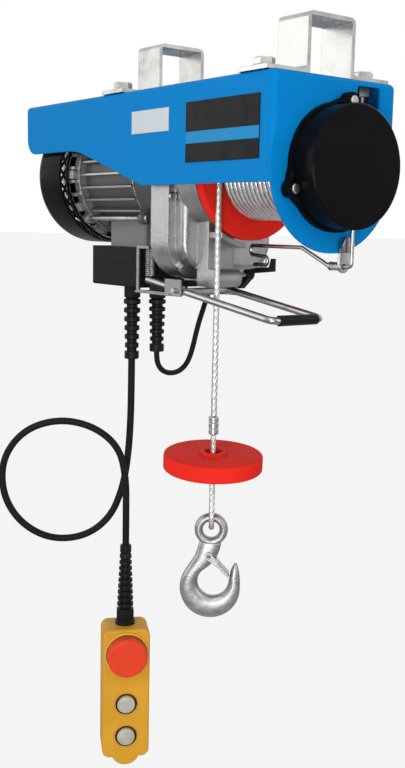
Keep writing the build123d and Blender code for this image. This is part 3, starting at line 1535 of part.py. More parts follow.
# Hook on the back panel that the coil hangs on, and the tie round the coil
arm_z = coil_z + coil_r - coil_bundle_r - clear
arm_y = coil_y + coil_bundle_r + hook_play
with BuildPart() as lead_hook:
    with BuildSketch(across(coil_x - lead_hook_w / 2)):
        with BuildLine():
            Polyline(
                (frame_half, arm_z - 14), (frame_half, arm_z + 12), (frame_half + hook_sheet, arm_z + 12),
                (frame_half + hook_sheet, arm_z), (arm_y, arm_z), (arm_y, arm_z + 9),
                (arm_y + hook_sheet, arm_z + 9), (arm_y + hook_sheet, arm_z - hook_sheet),
                (frame_half + hook_sheet, arm_z - hook_sheet), (frame_half + hook_sheet, arm_z - 14),
                close=True,
            )
        make_face()
    extrude(amount=lead_hook_w)
    with BuildSketch(across(coil_x - tie_w / 2)):
        with Locations((coil_y, coil_z - coil_r)):
            Circle(coil_bundle_r + tie_t)
            Circle(coil_bundle_r + clear, mode=Mode.SUBTRACT)
    extrude(amount=tie_w)
save(lead_hook.part, "lead_hook")

plug_face = plug_left + plug_len
with BuildPart() as mains_plug:
    with BuildSketch(Plane(origin=(0, coil_y, lead_end_z), x_dir=(1, 0, 0), z_dir=(0, -1, 0))):
        with BuildLine():
            Polyline(
                (plug_left, 0), (plug_left, plug_sleeve_r), (plug_left + plug_sleeve, plug_sleeve_r + 3),
                (plug_left + plug_sleeve + 4, plug_r - 6), (plug_face - 10, plug_r - 4),
                (plug_face - 8, plug_r), (plug_face, plug_r), (plug_face, 0), close=True,
            )
        make_face()
    revolve(axis=Axis((0, coil_y, lead_end_z), (1, 0, 0)))
    with BuildSketch(across(plug_face)):
        with Locations((coil_y, lead_end_z)):
            with GridLocations(plug_pin_gap, 1, 2, 1):
                Circle(plug_pin_r)
    extrude(amount=plug_pin_len)
save(mains_plug.part, "mains_plug")
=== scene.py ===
import bpy, bmesh, math
from mathutils import Matrix, Vector


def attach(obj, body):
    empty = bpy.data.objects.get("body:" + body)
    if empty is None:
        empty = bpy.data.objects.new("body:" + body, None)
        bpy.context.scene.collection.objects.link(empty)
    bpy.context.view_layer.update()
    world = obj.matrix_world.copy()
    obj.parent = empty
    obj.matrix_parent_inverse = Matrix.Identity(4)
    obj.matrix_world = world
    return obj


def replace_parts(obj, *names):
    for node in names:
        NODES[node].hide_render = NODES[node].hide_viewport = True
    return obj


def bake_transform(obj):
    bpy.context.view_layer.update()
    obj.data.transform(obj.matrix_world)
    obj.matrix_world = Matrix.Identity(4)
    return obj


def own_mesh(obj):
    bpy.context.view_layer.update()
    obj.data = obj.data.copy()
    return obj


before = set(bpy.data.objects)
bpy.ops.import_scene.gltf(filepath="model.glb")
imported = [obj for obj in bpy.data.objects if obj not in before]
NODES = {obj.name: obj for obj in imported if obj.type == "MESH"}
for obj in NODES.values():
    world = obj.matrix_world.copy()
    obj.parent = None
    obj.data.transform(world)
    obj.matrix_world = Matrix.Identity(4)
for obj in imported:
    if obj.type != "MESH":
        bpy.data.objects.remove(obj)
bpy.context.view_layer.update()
X, Z = Vector((1, 0, 0)), Vector((0, 0, 1))
MM = 0.001
TAU = 2 * math.pi

# Places taken from the CAD, in metres
AXIS_Z = -0.081
AXIS = Vector((0, 0, AXIS_Z))
ROPE_X, ROPE_Y = 0.036, -0.048
ROPE_R = 0.003
FERRULE_TOP = -0.323
HOOK_X = Vector((0.6192, 0.7852, 0))
HOOK_N = Vector((0.7852, -0.6192, 0))
PENDANT_DIR = math.radians(62)
PENDANT_OUT = Vector((math.sin(PENDANT_DIR), -math.cos(PENDANT_DIR), 0))
PENDANT_SIDE = Vector((math.cos(PENDANT_DIR), math.sin(PENDANT_DIR), 0))
LOOP_DIR = Vector((0.552, 0.834, 0))
LOOP_OUT = Vector((0.834, -0.552, 0))
GLAND = Vector((-0.139, -0.031, 0))
MAINS_GLAND = Vector((-0.121, -0.009, 0))
PENDANT = GLAND - LOOP_DIR * 0.0046 + LOOP_OUT * 0.008


# Materials
def node(tree, kind, place, **values):
    made = tree.nodes.new(kind)
    made.location = place
    for key, value in values.items():
        setattr(made, key, value)
    return made


def uneven_tone(tree, coords, scale, cells):
    """A factor from 0 to 1 in soft patches and, with cells, in crystal spangle too."""
    patches = node(tree, "ShaderNodeTexNoise", (-1000, 200))
    patches.inputs["Scale"].default_value = scale
    patches.inputs["Detail"].default_value = 6
    patches.inputs["Roughness"].default_value = 0.6
    tree.links.new(coords, patches.inputs["Vector"])
    tone = node(tree, "ShaderNodeMapRange", (-800, 200))
    tone.inputs["From Min"].default_value = 0.3
    tone.inputs["From Max"].default_value = 0.7
    tree.links.new(patches.outputs["Fac"], tone.inputs["Value"])
    if not cells:
        return tone.outputs["Result"]
    spangle = node(tree, "ShaderNodeTexVoronoi", (-1000, 450))
    spangle.inputs["Scale"].default_value = cells
    tree.links.new(coords, spangle.inputs["Vector"])
    both = node(tree, "ShaderNodeMix", (-650, 400), data_type="FLOAT")
    both.inputs["Factor"].default_value = 0.6
    tree.links.new(tone.outputs["Result"], both.inputs["A"])
    tree.links.new(spangle.outputs["Color"], both.inputs["B"])
    return both.outputs["Result"]


def painted_turn_shade(tree, coords, colour, reach):
    """Painted shade between the wound rope's turns: darken a colour towards the drum's axis, between these
    two distances from it.
    """
    place = node(tree, "ShaderNodeSeparateXYZ", (-1000, -700))
    tree.links.new(coords, place.inputs["Vector"])
    height = node(tree, "ShaderNodeMath", (-850, -800), operation="SUBTRACT")
    height.inputs[1].default_value = AXIS_Z
    tree.links.new(place.outputs["Z"], height.inputs[0])
    across = node(tree, "ShaderNodeCombineXYZ", (-700, -700))
    tree.links.new(place.outputs["Y"], across.inputs["Y"])
    tree.links.new(height.outputs["Value"], across.inputs["Z"])
    distance = node(tree, "ShaderNodeVectorMath", (-550, -700), operation="LENGTH")
    tree.links.new(across.outputs["Vector"], distance.inputs[0])
    depth = node(tree, "ShaderNodeMapRange", (-400, -700), interpolation_type="SMOOTHSTEP")
    depth.inputs["From Min"].default_value, depth.inputs["From Max"].default_value = reach
    tree.links.new(distance.outputs["Value"], depth.inputs["Value"])
    painted_shade_mix = node(tree, "ShaderNodeMix", (-100, 100), data_type="RGBA")
    painted_shade_mix.inputs["A"].default_value = (0.03, 0.03, 0.03, 1)
    tree.links.new(depth.outputs["Result"], painted_shade_mix.inputs["Factor"])
    tree.links.new(colour, painted_shade_mix.inputs["B"])
    return painted_shade_mix.outputs["Result"]


def material(name, colour, rough, metal=0.0, spread=0.08, scale=60.0, bump=0.05, bump_scale=400.0,
             cells=0.0, rough_spread=0.08, spec=0.5, edge=0.7, turn_shade_reach=None):
    """A surface with soft colour patches, uneven roughness, fine bump and edges rounded in millimetres, and,
    where asked, painted shade towards the drum's axis.
    """
    mat = bpy.data.materials.new(name)
    mat.use_nodes = True
    tree = mat.node_tree
    link = tree.links.new
    shader = tree.nodes["Principled BSDF"]
    shader.inputs["Metallic"].default_value = metal
    shader.inputs["Specular IOR Level"].default_value = spec
    coords = node(tree, "ShaderNodeTexCoord", (-1200, 0)).outputs["Object"]
    factor = uneven_tone(tree, coords, scale, cells)

    shade = node(tree, "ShaderNodeMix", (-450, 200), data_type="RGBA")
    shade.inputs["A"].default_value = [c * (1 - spread) for c in colour] + [1]
    shade.inputs["B"].default_value = [min(1, c * (1 + spread)) for c in colour] + [1]
    link(factor, shade.inputs["Factor"])
    colour_out = shade.outputs["Result"]
    # Painted shade between the rope's turns on the drum, where asked for
    if turn_shade_reach:
        colour_out = painted_turn_shade(tree, coords, colour_out, turn_shade_reach)
    link(colour_out, shader.inputs["Base Color"])

    uneven = node(tree, "ShaderNodeMapRange", (-450, -100))
    uneven.inputs["To Min"].default_value = max(0.02, rough - rough_spread)
    uneven.inputs["To Max"].default_value = rough + rough_spread
    link(factor, uneven.inputs["Value"])
    link(uneven.outputs["Result"], shader.inputs["Roughness"])

    grain = node(tree, "ShaderNodeTexNoise", (-700, -300))
    grain.inputs["Scale"].default_value = bump_scale
    grain.inputs["Detail"].default_value = 4
    link(coords, grain.inputs["Vector"])
    relief = node(tree, "ShaderNodeBump", (-300, -300))
    relief.inputs["Strength"].default_value = bump
    relief.inputs["Distance"].default_value = 0.001
    link(grain.outputs["Fac"], relief.inputs["Height"])
    if edge:
        rounded = node(tree, "ShaderNodeBevel", (-500, -450), samples=4)
        rounded.inputs["Radius"].default_value = edge * MM
        link(rounded.outputs["Normal"], relief.inputs["Normal"])
    link(relief.outputs["Normal"], shader.inputs["Normal"])
    return mat


# Paints
BLUE = material("blue_paint", (0.001, 0.215, 0.56), 0.40, spread=0.04, scale=8, bump=0.05,
                bump_scale=220, rough_spread=0.04, spec=0.03, edge=1.2)
RED = material("red_paint", (0.80, 0.026, 0.016), 0.44, spread=0.06, scale=20, bump=0.05,
               bump_scale=260, spec=0.02, edge=1.0)
MOTOR = material("motor_grey_paint", (0.085, 0.084, 0.080), 0.46, metal=0.2, spread=0.14, scale=25,
                 bump=0.12, bump_scale=500)
GREY_BASE = material("grey_cast_paint", (0.165, 0.16, 0.15), 0.5, spread=0.12, bump=0.2,
                     bump_scale=500, spec=0.35)

# Metals
ZINC = material("zinc_plate", (0.44, 0.44, 0.42), 0.30, metal=1, spread=0.24, scale=42, bump=0.1,
                bump_scale=420, rough_spread=0.12)
ROD = material("bright_rod", (0.34, 0.34, 0.33), 0.22, metal=1, spread=0.2, scale=50, bump=0.05,
               bump_scale=500)
BRACKET = material("dull_zinc", (0.25, 0.25, 0.24), 0.34, metal=0.95, spread=0.3, scale=60,
                   bump=0.12, bump_scale=420, rough_spread=0.12)
STEEL = material("turned_steel", (0.50, 0.50, 0.51), 0.30, metal=1, spread=0.08, scale=40, bump=0.04)
CAST = material("cast_aluminium", (0.37, 0.37, 0.365), 0.38, metal=0.92, spread=0.2, scale=38,
                bump=0.3, bump_scale=480, edge=1.2, rough_spread=0.12)
SHIELD = material("grey_cast_shield", (0.28, 0.28, 0.28), 0.42, metal=0.55, spread=0.16, scale=45,
                  bump=0.3, bump_scale=520)
# Painted highlight, for the edges of the motor's fins, its end rings and the fingers on its end shield
EDGE_HIGHLIGHT = material("painted_edge_highlight", (0.42, 0.42, 0.41), 0.36, metal=0.8, spread=0.1)
COPPER = material("copper_wire", (0.55, 0.22, 0.09), 0.35, metal=1, spread=0.15, bump=0.2)
GALV = material("galvanised", (0.33, 0.33, 0.325), 0.38, metal=0.9, spread=0.26, scale=130,
                cells=260, bump=0.2, bump_scale=520, rough_spread=0.08, edge=0)
ROPE = material("wire_rope", (0.56, 0.56, 0.54), 0.34, metal=0.9, spread=0.16, scale=220, bump=0.2,
                bump_scale=900, edge=0)
# Rope on the drum: a lighter copy of the wire rope as painted light on its turns, with painted shade between
# the turns
ROPE_WOUND_LIT_SHADED = material("wound_rope_painted_light_and_shade", (0.70, 0.70, 0.68), 0.30, metal=0.9, spread=0.16, scale=220,
                      bump=0.2, bump_scale=900, edge=0, turn_shade_reach=(0.0450, 0.0477))
# Painted shade: the rope's lower layer, near black as the shade beneath the wound turns
ROPE_UNDER_SHADE = material("rope_layer_painted_shade", (0.07, 0.07, 0.068), 0.5, metal=0.7, spread=0.2, scale=150,
                     bump=0.3, bump_scale=700, edge=0)

# Plastics and rubber
BLACK = material("black_plastic", (0.008, 0.008, 0.008), 0.40, spread=0.2, scale=30, bump=0.10,
                 bump_scale=900, spec=0.14)
GLOSS_BLACK = material("gloss_black_plastic", (0.004, 0.004, 0.005), 0.26, spread=0.2, scale=30,
                       bump=0.04, bump_scale=700, spec=0.04)
GREY_BOX = material("dark_box_plastic", (0.007, 0.0066, 0.0064), 0.42, spread=0.1, bump=0.14,
                    bump_scale=900, spec=0.08)
RUBBER = material("black_rubber", (0.009, 0.0085, 0.008), 0.50, spread=0.2, bump=0.08,
                  bump_scale=700, spec=0.1, edge=0)
AMBER = material("amber_plastic", (0.68, 0.34, 0.022), 0.46, spread=0.08, scale=20, bump=0.14,
                 bump_scale=1100, spec=0.2)
AMBER_LIGHT = material("yellow_collar", (0.76, 0.43, 0.05), 0.38, spread=0.05, bump=0.06)
STOP_RED = material("stop_red", (0.78, 0.055, 0.020), 0.36, spread=0.05, bump=0.03, spec=0.15)
WHITE = material("button_white", (0.46, 0.43, 0.36), 0.36, spread=0.10, scale=90, bump=0.08)
CAPACITOR = material("capacitor_white", (0.62, 0.62, 0.61), 0.3, spread=0.04)
# Painted light: a near-white ring seen through the fan cover's lattice
LIGHT_THROUGH_LATTICE = material("painted_light_ring", (0.86, 0.86, 0.84), 0.5, spread=0.03)
PLATE = material("light_plate", (0.50, 0.54, 0.57), 0.40, metal=0.2, spread=0.05, scale=30, bump=0.03)
LABEL = material("black_label", (0.006, 0.006, 0.007), 0.42, spread=0.1, bump=0.02, spec=0.1)
BAND = material("label_band", (0.004, 0.24, 0.52), 0.42, spread=0.05, bump=0.02, spec=0.15)


def paint(mat, *names):
    """Give CAD nodes this one material."""
    for name in names:
        mesh = NODES[name].data
        mesh.materials.clear()
        mesh.materials.append(mat)


paint(BLUE, "frame")
paint(ZINC, "beam_clamps", "clamp_bolts", "clamp_nuts", "case_screws", "motor_tie_rods", "rod_clip",
      "hook_latch", "pivot_pins")
paint(ROD, "bail", "slack_rope_rod")
paint(BRACKET, "limit_bracket")
paint(STEEL, "bearings", "motor_shaft", "countershaft", "countershaft_gear", "output_gear",
      "drum_shaft", "rotor")
paint(CAST, "bearing_housing", "gear_case", "gear_cover")
paint(SHIELD, "motor_end_shield")
paint(MOTOR, "motor_housing", "motor_front_shield")
paint(GREY_BASE, "terminal_base")
paint(GREY_BOX, "control_box", "control_box_top")
paint(GLOSS_BLACK, "end_cover")
paint(BLACK, "cooling_fan", "limit_switches", "bail_sleeve", "trip_lever", "pendant_contacts")
paint(RED, "drum", "limit_weight")
paint(COPPER, "stator")
paint(AMBER, "pendant_front", "pendant_back")
paint(STOP_RED, "stop_button")
paint(CAPACITOR, "run_capacitor")
paint(RUBBER, "mains_plug")


# Pieces: a mesh from (verts, faces), its shading and its edges
def new_piece(name, shape, mat, body="hoist", smooth=True):
    """A mesh piece from (verts, faces), riding on a body unless the body is None."""
    verts, faces = shape
    mesh = bpy.data.meshes.new(name)
    mesh.from_pydata([tuple(v) for v in verts], [], faces)
    mesh.validate()
    work = bmesh.new()
    work.from_mesh(mesh)
    bmesh.ops.recalc_face_normals(work, faces=work.faces)
    work.to_mesh(mesh)
    work.free()
    mesh.materials.append(mat)
    piece = bpy.data.objects.new(name, mesh)
    bpy.context.scene.collection.objects.link(piece)
    if smooth:
        mesh.shade_smooth()
    if body:
        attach(piece, body)
    return piece


def crisp(piece, angle=35):
    """Smooth shading that keeps the edges sharper than this angle."""
    bpy.context.view_layer.objects.active = piece
    piece.select_set(True)
    bpy.ops.object.shade_smooth_by_angle(angle=math.radians(angle))
    piece.select_set(False)
    return piece


def bevel(piece, width):
    """Round the sharp edges of a piece."""
    tool = piece.modifiers.new("rounded_edges", "BEVEL")
    tool.width = width
    tool.segments = 2
    tool.limit_method = "ANGLE"
    tool.angle_limit = math.radians(40)
    return piece


# Shapes as (verts, faces)
def join(*shapes):
    verts, faces = [], []
    for some_verts, some_faces in shapes:
        base = len(verts)
        verts += list(some_verts)
        faces += [tuple(base + index for index in face) for face in some_faces]
    return verts, faces


def around(count, first=0.0):
    """Angles evenly round one turn, from a first one given as a share of their step."""
    return [TAU * (k + first) / count for k in range(count)]


def squared(value, power):
    """A cosine or sine pushed out, so that a circle of them becomes a rounded square."""
    return math.copysign(abs(value) ** power, value)


def skin(rings, closed=False):
    """A skin over equal rings of points, capped at its ends unless it closes on itself."""
    count = len(rings[0])
    verts = [v for ring_points in rings for v in ring_points]
    faces = []
    for i in range(len(rings) if closed else len(rings) - 1):
        j = (i + 1) % len(rings)
        for k in range(count):
            n = (k + 1) % count
            faces.append((i * count + k, i * count + n, j * count + n, j * count + k))
    if not closed:
        faces.append(tuple(range(count - 1, -1, -1)))
        faces.append(tuple((len(rings) - 1) * count + k for k in range(count)))
    return verts, faces


def turned(profile, origin, axis, segments, side=None):
    """A turned form round an axis from a closed outline of (along, radius)."""
    axis = Vector(axis).normalized()
    side = (side or axis.orthogonal()).normalized()
    other = axis.cross(side)
    rings = []
    for angle in around(segments):
        spoke = side * math.cos(angle) + other * math.sin(angle)
        rings.append([Vector(origin) + axis * along + spoke * radius for along, radius in profile])
    return skin(rings, closed=True)


def in_mm(rows):
    return [(along * MM, radius * MM) for along, radius in rows]


def ring(left, right, inner, outer, segments=96):
    """A ring round the motor's and drum's axis."""
    return turned([(left, inner), (left, outer), (right, outer), (right, inner)], AXIS, X, segments)


def block(low, high):
    (a, b, c), (d, e, f) = low, high
    return skin([[(a, b, z), (d, b, z), (d, e, z), (a, e, z)] for z in (c, f)])


def about_axis(x, radius, angle):
    """A point at this radius and angle round the motor's and drum's axis."""
    return Vector((x, radius * math.cos(angle), AXIS_Z + radius * math.sin(angle)))


def radial_block(angle, left, right, inner, outer, half_width):
    """A block that stands straight out from the axis at this angle."""
    spoke = Vector((0, math.cos(angle), math.sin(angle)))
    aside = Vector((0, -math.sin(angle), math.cos(angle)))
    corners = ((inner, -half_width), (outer, -half_width), (outer, half_width), (inner, half_width))
    return skin([[AXIS + X * x + spoke * r + aside * w for r, w in corners] for x in (left, right)])


def six_sided(shape, centre, low, high, inside, flat):
    """Turn a round form into a nut between two heights, where it is wider than inside."""
    verts = []
    for v in shape[0]:
        if low < v.z < high and math.hypot(v.x - centre.x, v.y - centre.y) > inside:
            angle = math.atan2(v.y - centre.y, v.x - centre.x)
            edge = flat / math.cos((angle + math.pi / 6) % (math.pi / 3) - math.pi / 6)
            v = Vector((centre.x + edge * math.cos(angle), centre.y + edge * math.sin(angle), v.z))
        verts.append(v)
    return verts, shape[1]


def carried(path):
    """Side and other at each point of a path, square to it and carried along without twist."""
    side = None
    frames = []
    for i in range(len(path)):
        tangent = (path[min(len(path) - 1, i + 1)] - path[max(0, i - 1)]).normalized()
        side = side or tangent.orthogonal()
        side = (side - tangent * side.dot(tangent)).normalized()
        frames.append((side, tangent.cross(side)))
    return frames


def spring(start, end, radius, turns, gauge):
    """A spring of round wire, wound from start to end."""
    start, end = Vector(start), Vector(end)
    axis = (end - start).normalized()
    side = axis.orthogonal().normalized()
    other = axis.cross(side)
    steps = round(turns * 20)
    path = []
    for k in range(steps + 1):
        turn = TAU * turns * k / steps
        path.append(start.lerp(end, k / steps) + (side * math.cos(turn) + other * math.sin(turn)) * radius)
    rings = []
    for point, (side, other) in zip(path, carried(path)):
        rings.append([point + (side * math.cos(a) + other * math.sin(a)) * gauge for a in around(8)])
    return skin(rings)


def rope(path, radius, lay, relief=0.45, steps=4):
    """A laid rope along a path: each of its six strands goes once round it in each lay."""
    strands = 6
    reach, own = radius * 2 / 3, radius / 3
    outline = []
    for strand in range(strands):
        for k in range(steps):
            angle = math.pi / strands * (2 * k / steps - 1)
            bulge = math.sqrt(max(0, own ** 2 - (reach * math.sin(angle)) ** 2))
            across = reach * math.cos(angle) + bulge
            outline.append((TAU * strand / strands + angle, radius + (across - radius) * relief))
    rings, run = [], 0.0
    for i, (point, (side, other)) in enumerate(zip(path, carried(path))):
        if i:
            run += (point - path[i - 1]).length
        turn = TAU * run / lay
        rings.append([point + (side * math.cos(a + turn) + other * math.sin(a + turn)) * r
                      for a, r in outline])
    return skin(rings)


def nurbs(name, points, resolution):
    """Curve data with one open NURBS spline over these control points."""
    data = bpy.data.curves.new(name, "CURVE")
    data.dimensions = "3D"
    data.resolution_u = resolution
    line = data.splines.new("NURBS")
    line.points.add(len(points) - 1)
    for place, point in zip(line.points, points):
        place.co = (*point, 1)
    line.order_u = 3
    line.use_endpoint_u = True
    return data


def spline_path(name, points, step):
    """Points about a step apart on the smooth line of a NURBS spline over these control points."""
    length = sum((Vector(b) - Vector(a)).length for a, b in zip(points, points[1:]))
    made = bpy.data.objects.new(name, nurbs(name, points, max(2, round(length / len(points) / step))))
    bpy.context.scene.collection.objects.link(made)
    bpy.context.view_layer.update()
    mesh = bpy.data.meshes.new_from_object(made)
    path = [v.co.copy() for v in mesh.vertices]
    bpy.data.objects.remove(made)
    return path


def cord_curve(name, points, radius):
    """A free rubber cord: one open NURBS spline with the route's points, solid at its ends."""
    data = nurbs(name, points, 8)
    data.bevel_depth = radius
    data.bevel_resolution = 5
    data.use_fill_caps = True
    data.materials.append(RUBBER)
    piece = bpy.data.objects.new(name, data)
    bpy.context.scene.collection.objects.link(piece)
    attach(piece, "hoist")
    return piece


# Pendant cable, with its one loose loop, as (along the loop, out of it, height) from its gland
pendant_route = [
    Vector((*(GLAND + LOOP_DIR * along * MM + LOOP_OUT * out * MM).xy, z * MM)) for along, out, z in (
        (0, 0, -286), (0, 0, -320), (-0.5, -2, -360), (-3, -5, -402), (-9, -7, -440), (-23, -6, -475),
        (-52, -3, -497), (-92, -1, -500), (-127, 0, -480), (-147, 0, -446), (-147, 1, -403),
        (-122, 2, -369), (-82, 3, -356), (-42, 5, -364), (-13, 7, -388), (-5, 8, -424),
        (-4.6, 8, -464), (-4.6, 8, -503.5))]
pendant_cable = cord_curve("pendant_cable_line", pendant_route, 4 * MM)
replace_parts(pendant_cable, "pendant_cable")

# Mains lead: a tight turn below its gland, up behind the motor, three turns of coil, then to its plug
lead_rise = ((-121, -9, -277), (-121, -9, -288), (-122.4, -2.5, -298), (-124.8, 8, -303.5),
             (-127.8, 21.5, -305), (-130.8, 34.5, -302), (-133.2, 45.5, -293), (-134.9, 53, -277),
             (-137, 61.5, -251), (-139, 73, -226), (-140.5, 84, -199), (-141, 92, -171), (-137, 97, -143),
             (-126, 96, -118), (-108, 95, -99), (-86, 94.5, -90), (-66, 94.5, -88.7), (-46, 94.5, -88.7))
lead_end = ((-20, 102, -88.9), (-9, 100.5, -87.6), (-2, 98, -86), (2.5, 98, -86))
COIL = Vector((-0.032, 0.098, -0.048))
COIL_R, COIL_TURNS, COIL_STEPS = 36.4 * MM, 3, 18
NEST_R = 3.75 * MM
END_OUT, END_ASIDE, END_TURNS = 4.7 * MM, 3.5 * MM, 0.16


def coil_point(turns):
    """The coil's turns nest in a triangle round its line, and its two ends leave it on its outside."""
    nest = TAU / COIL_TURNS * turns
    out, aside = NEST_R * math.cos(nest), NEST_R * math.sin(nest)
    end = min(turns, COIL_TURNS - turns) / END_TURNS
    if end < 1:
        leaving = 1 - end * end * (3 - 2 * end)
        out += (END_OUT - out) * leaving
        aside += ((END_ASIDE if turns > 1 else -END_ASIDE) - aside) * leaving
    angle = TAU * (turns - 0.25)
    return COIL + Vector(((COIL_R + out) * math.cos(angle), aside, (COIL_R + out) * math.sin(angle)))


lead_route = [Vector(point) * MM for point in lead_rise]
lead_route += [coil_point(k / COIL_STEPS) for k in range(COIL_TURNS * COIL_STEPS + 1)]
lead_route += [Vector(point) * MM for point in lead_end]
mains_lead = cord_curve("mains_lead_line", lead_route, 3.1 * MM)
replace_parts(mains_lead, "mains_lead", "mains_coil")

# Hook that the coil hangs on, a bent strip along Y, and the strap round the coil
ARM_X = (-38, -26)
arm = [(77, -33.3), (77, -7.3), (79, -7.3), (79, -19.3), (106.5, -19.3), (106.5, -10.3), (108.5, -10.3),
       (108.5, -21.3), (79, -21.3), (79, -33.3)]
STRAP_X, STRAP_Y, STRAP_Z = (-0.035, -0.029), 0.098, -0.0853
STRAP_HALF_Y, STRAP_HALF_Z, STRAP_GROWTH = 6.9 * MM, 6.7 * MM, 1.16
arm_shape = skin([[(x * MM, y * MM, z * MM) for y, z in arm] for x in ARM_X])
strap_rings = []
for angle in around(40):
    y = STRAP_HALF_Y * squared(math.cos(angle), 0.5)
    z = STRAP_HALF_Z * squared(math.sin(angle), 0.5)
    strap_rings.append([(x, STRAP_Y + y * grown, STRAP_Z + z * grown) for x, grown in (
        (STRAP_X[0], 1), (STRAP_X[1], 1), (STRAP_X[1], STRAP_GROWTH), (STRAP_X[0], STRAP_GROWTH))])
lead_hook = new_piece("lead_hook_and_strap", join(arm_shape, skin(strap_rings, closed=True)), BLACK)
bevel(crisp(lead_hook), 0.5 * MM)
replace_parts(lead_hook, "lead_hook")

# Wire rope on the drum, its first turn climbing off the layer to where the rope falls
PITCH, TURNS = 6.1 * MM, 14.5
FALL_R, LAYER_R, CLIMB_TURNS = 48 * MM, 44.8 * MM, 0.8
UNDER_LAYER = (0.0325, 0.1242, 0.0400, 0.0425)
per_turn = 192
winding_path = []
for k in range(round(TURNS * per_turn) + 1):
    turn = k / per_turn
    climb = max(0, 1 - turn / CLIMB_TURNS)
    turn_r = LAYER_R + (FALL_R - LAYER_R) * climb * climb * (3 - 2 * climb)
    winding_path.append(about_axis(ROPE_X + PITCH * turn, turn_r, math.pi - TAU * turn))
winding = new_piece("rope_turns", rope(winding_path, ROPE_R, 0.040, 0.14, steps=2), ROPE_WOUND_LIT_SHADED, "drum")
# The lower layer of rope is one ring whose dark colour is painted shade beneath the turns
crisp(new_piece("rope_under_layer", ring(*UNDER_LAYER, 56), ROPE_UNDER_SHADE, "drum"))
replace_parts(winding, "rope_winding")

# The fall of the rope, from the drum to the ferrule
ROPE_FALL = AXIS_Z - FERRULE_TOP
fall = [Vector((ROPE_X, ROPE_Y, AXIS_Z - ROPE_FALL * k / 200)) for k in range(201)]
hoist_rope = new_piece("hoist_rope_strands", rope(fall, ROPE_R, 0.040), ROPE)
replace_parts(hoist_rope, "hoist_rope")
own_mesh(hoist_rope)


def at_hook(along, z, out=0.0):
    """A point at the rope in millimetres: along the hook's plane, its height, and out of that plane."""
    return Vector((ROPE_X, ROPE_Y, z * MM)) + HOOK_X * along * MM + HOOK_N * out * MM


# Rope loop through the weight and round the hook's eye, as (out, height) down one side
loop_side = [(3, -341), (3, -370), (3, -392), (7, -406), (11.2, -420), (11.5, -431), (6.5, -436.2)]
loop_outline = [(-out, z) for out, z in loop_side] + [(0, -436.8)] + loop_side[::-1]
loop_path = spline_path("loop_line", [at_hook(0, z, out) for out, z in loop_outline], 1 * MM)
rope_loop = new_piece("rope_loop_strands", rope(loop_path, 2.85 * MM, 0.036), ROPE, "hook_block")
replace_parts(rope_loop, "rope_loop")

# Ferrule pressed on the two ropes, and the sleeve that the weight rests on
SLEEVE_HALF, SLEEVE_THIN, SLEEVE_EDGE, EDGE_SHARE = 6.5, 5, 0.8, 0.84


def pressed_sleeve(top, bottom):
    rings = []
    for z, share in ((top, EDGE_SHARE), (top - SLEEVE_EDGE, 1), (bottom + SLEEVE_EDGE, 1),
                     (bottom, EDGE_SHARE)):
        rings.append([at_hook(SLEEVE_THIN * share * math.sin(a), z, SLEEVE_HALF * share * math.cos(a))
                      for a in around(40)])
    return skin(rings)


pressings = ((-323, -329), (-329, -335), (-335, -341), (-378.2, -384.7), (-384.7, -391.2))
ferrules = new_piece("rope_ferrules_pressed", join(*[pressed_sleeve(*ends) for ends in pressings]), STEEL,
                     "hook_block")
crisp(ferrules)
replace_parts(ferrules, "rope_ferrules")

# Forged hook: sections from its neck to its tip, as (inner edge along, height, outer edge along,
# height, half thickness), then a round eye and the latch's rivet
sections = [
    (11.5, -448, -11.8, -448, 5.8), (10.4, -457, -13, -459, 6.6), (8.2, -465, -15.8, -467, 7.2),
    (4.6, -472, -19.4, -473, 7.4), (-1.5, -478.6, -23.8, -479.5, 7.4), (-7.2, -482, -27.6, -486, 7.4),
    (-10.9, -486, -30.1, -492, 7.4), (-12.6, -490.5, -31.2, -498, 7.4), (-13, -495, -31.3, -504, 7.4),
    (-12.2, -499.5, -30, -510.5, 7.4), (-9.8, -503.6, -26.9, -517.9, 7.4),
    (-6.2, -507, -21.6, -525.2, 7.4), (-1.7, -509.3, -12.5, -531.4, 7.4), (3, -510, -1, -534, 7.4),
    (7.9, -509.2, 10.6, -532.1, 7.4), (12.1, -507.1, 19.6, -527, 7.4), (15.6, -503.9, 26, -519.9, 7.2),
    (18, -499.5, 29.6, -512.2, 7), (19, -495, 30.9, -504.5, 6.7), (19.4, -490, 30.9, -496.5, 6.3),
    (20.2, -485, 30.4, -489.5, 5.8), (21.6, -480.3, 29.4, -483, 4.9), (23.6, -476.6, 28.2, -478, 3.6),
    (25.2, -474.6, 27, -475.2, 1.6)]
EYE_Z, EYE_R, EYE_WIDE, EYE_THICK = -439.6, 12.75, 4.3, 6.3
RIVET_ALONG, RIVET_Z = -2, -466
rivet_profile = [(-10.2, 0), (-10.2, 2.6), (-9.3, 3.4), (9.3, 3.4), (10.2, 2.6), (10.2, 0)]

hook_rings = []
for inner, inner_z, outer, outer_z, thick in sections:
    middle = at_hook((inner + outer) / 2, (inner_z + outer_z) / 2)
    half = (at_hook(inner, inner_z) - at_hook(outer, outer_z)) / 2
    across = HOOK_N * thick * MM
    hook_rings.append([middle + half * squared(math.cos(a), 0.82) + across * squared(math.sin(a), 0.82)
                       for a in around(28)])
eye_rings = []
for turn in around(64):
    spoke = HOOK_X * math.cos(turn) + Z * math.sin(turn)
    eye_rings.append([at_hook(0, EYE_Z, EYE_THICK * math.sin(a))
                      + spoke * (EYE_R + EYE_WIDE * squared(math.cos(a), 0.9)) * MM for a in around(24)])
rivet = turned(in_mm(rivet_profile), at_hook(RIVET_ALONG, RIVET_Z), HOOK_N, 24, side=HOOK_X)
hook = new_piece("hook_forged", join(skin(hook_rings), skin(eye_rings, closed=True), rivet), GALV, "hook")
smoother = hook.modifiers.new("forged_curve", "SUBSURF")
smoother.levels = smoother.render_levels = 1
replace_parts(hook, "hook")

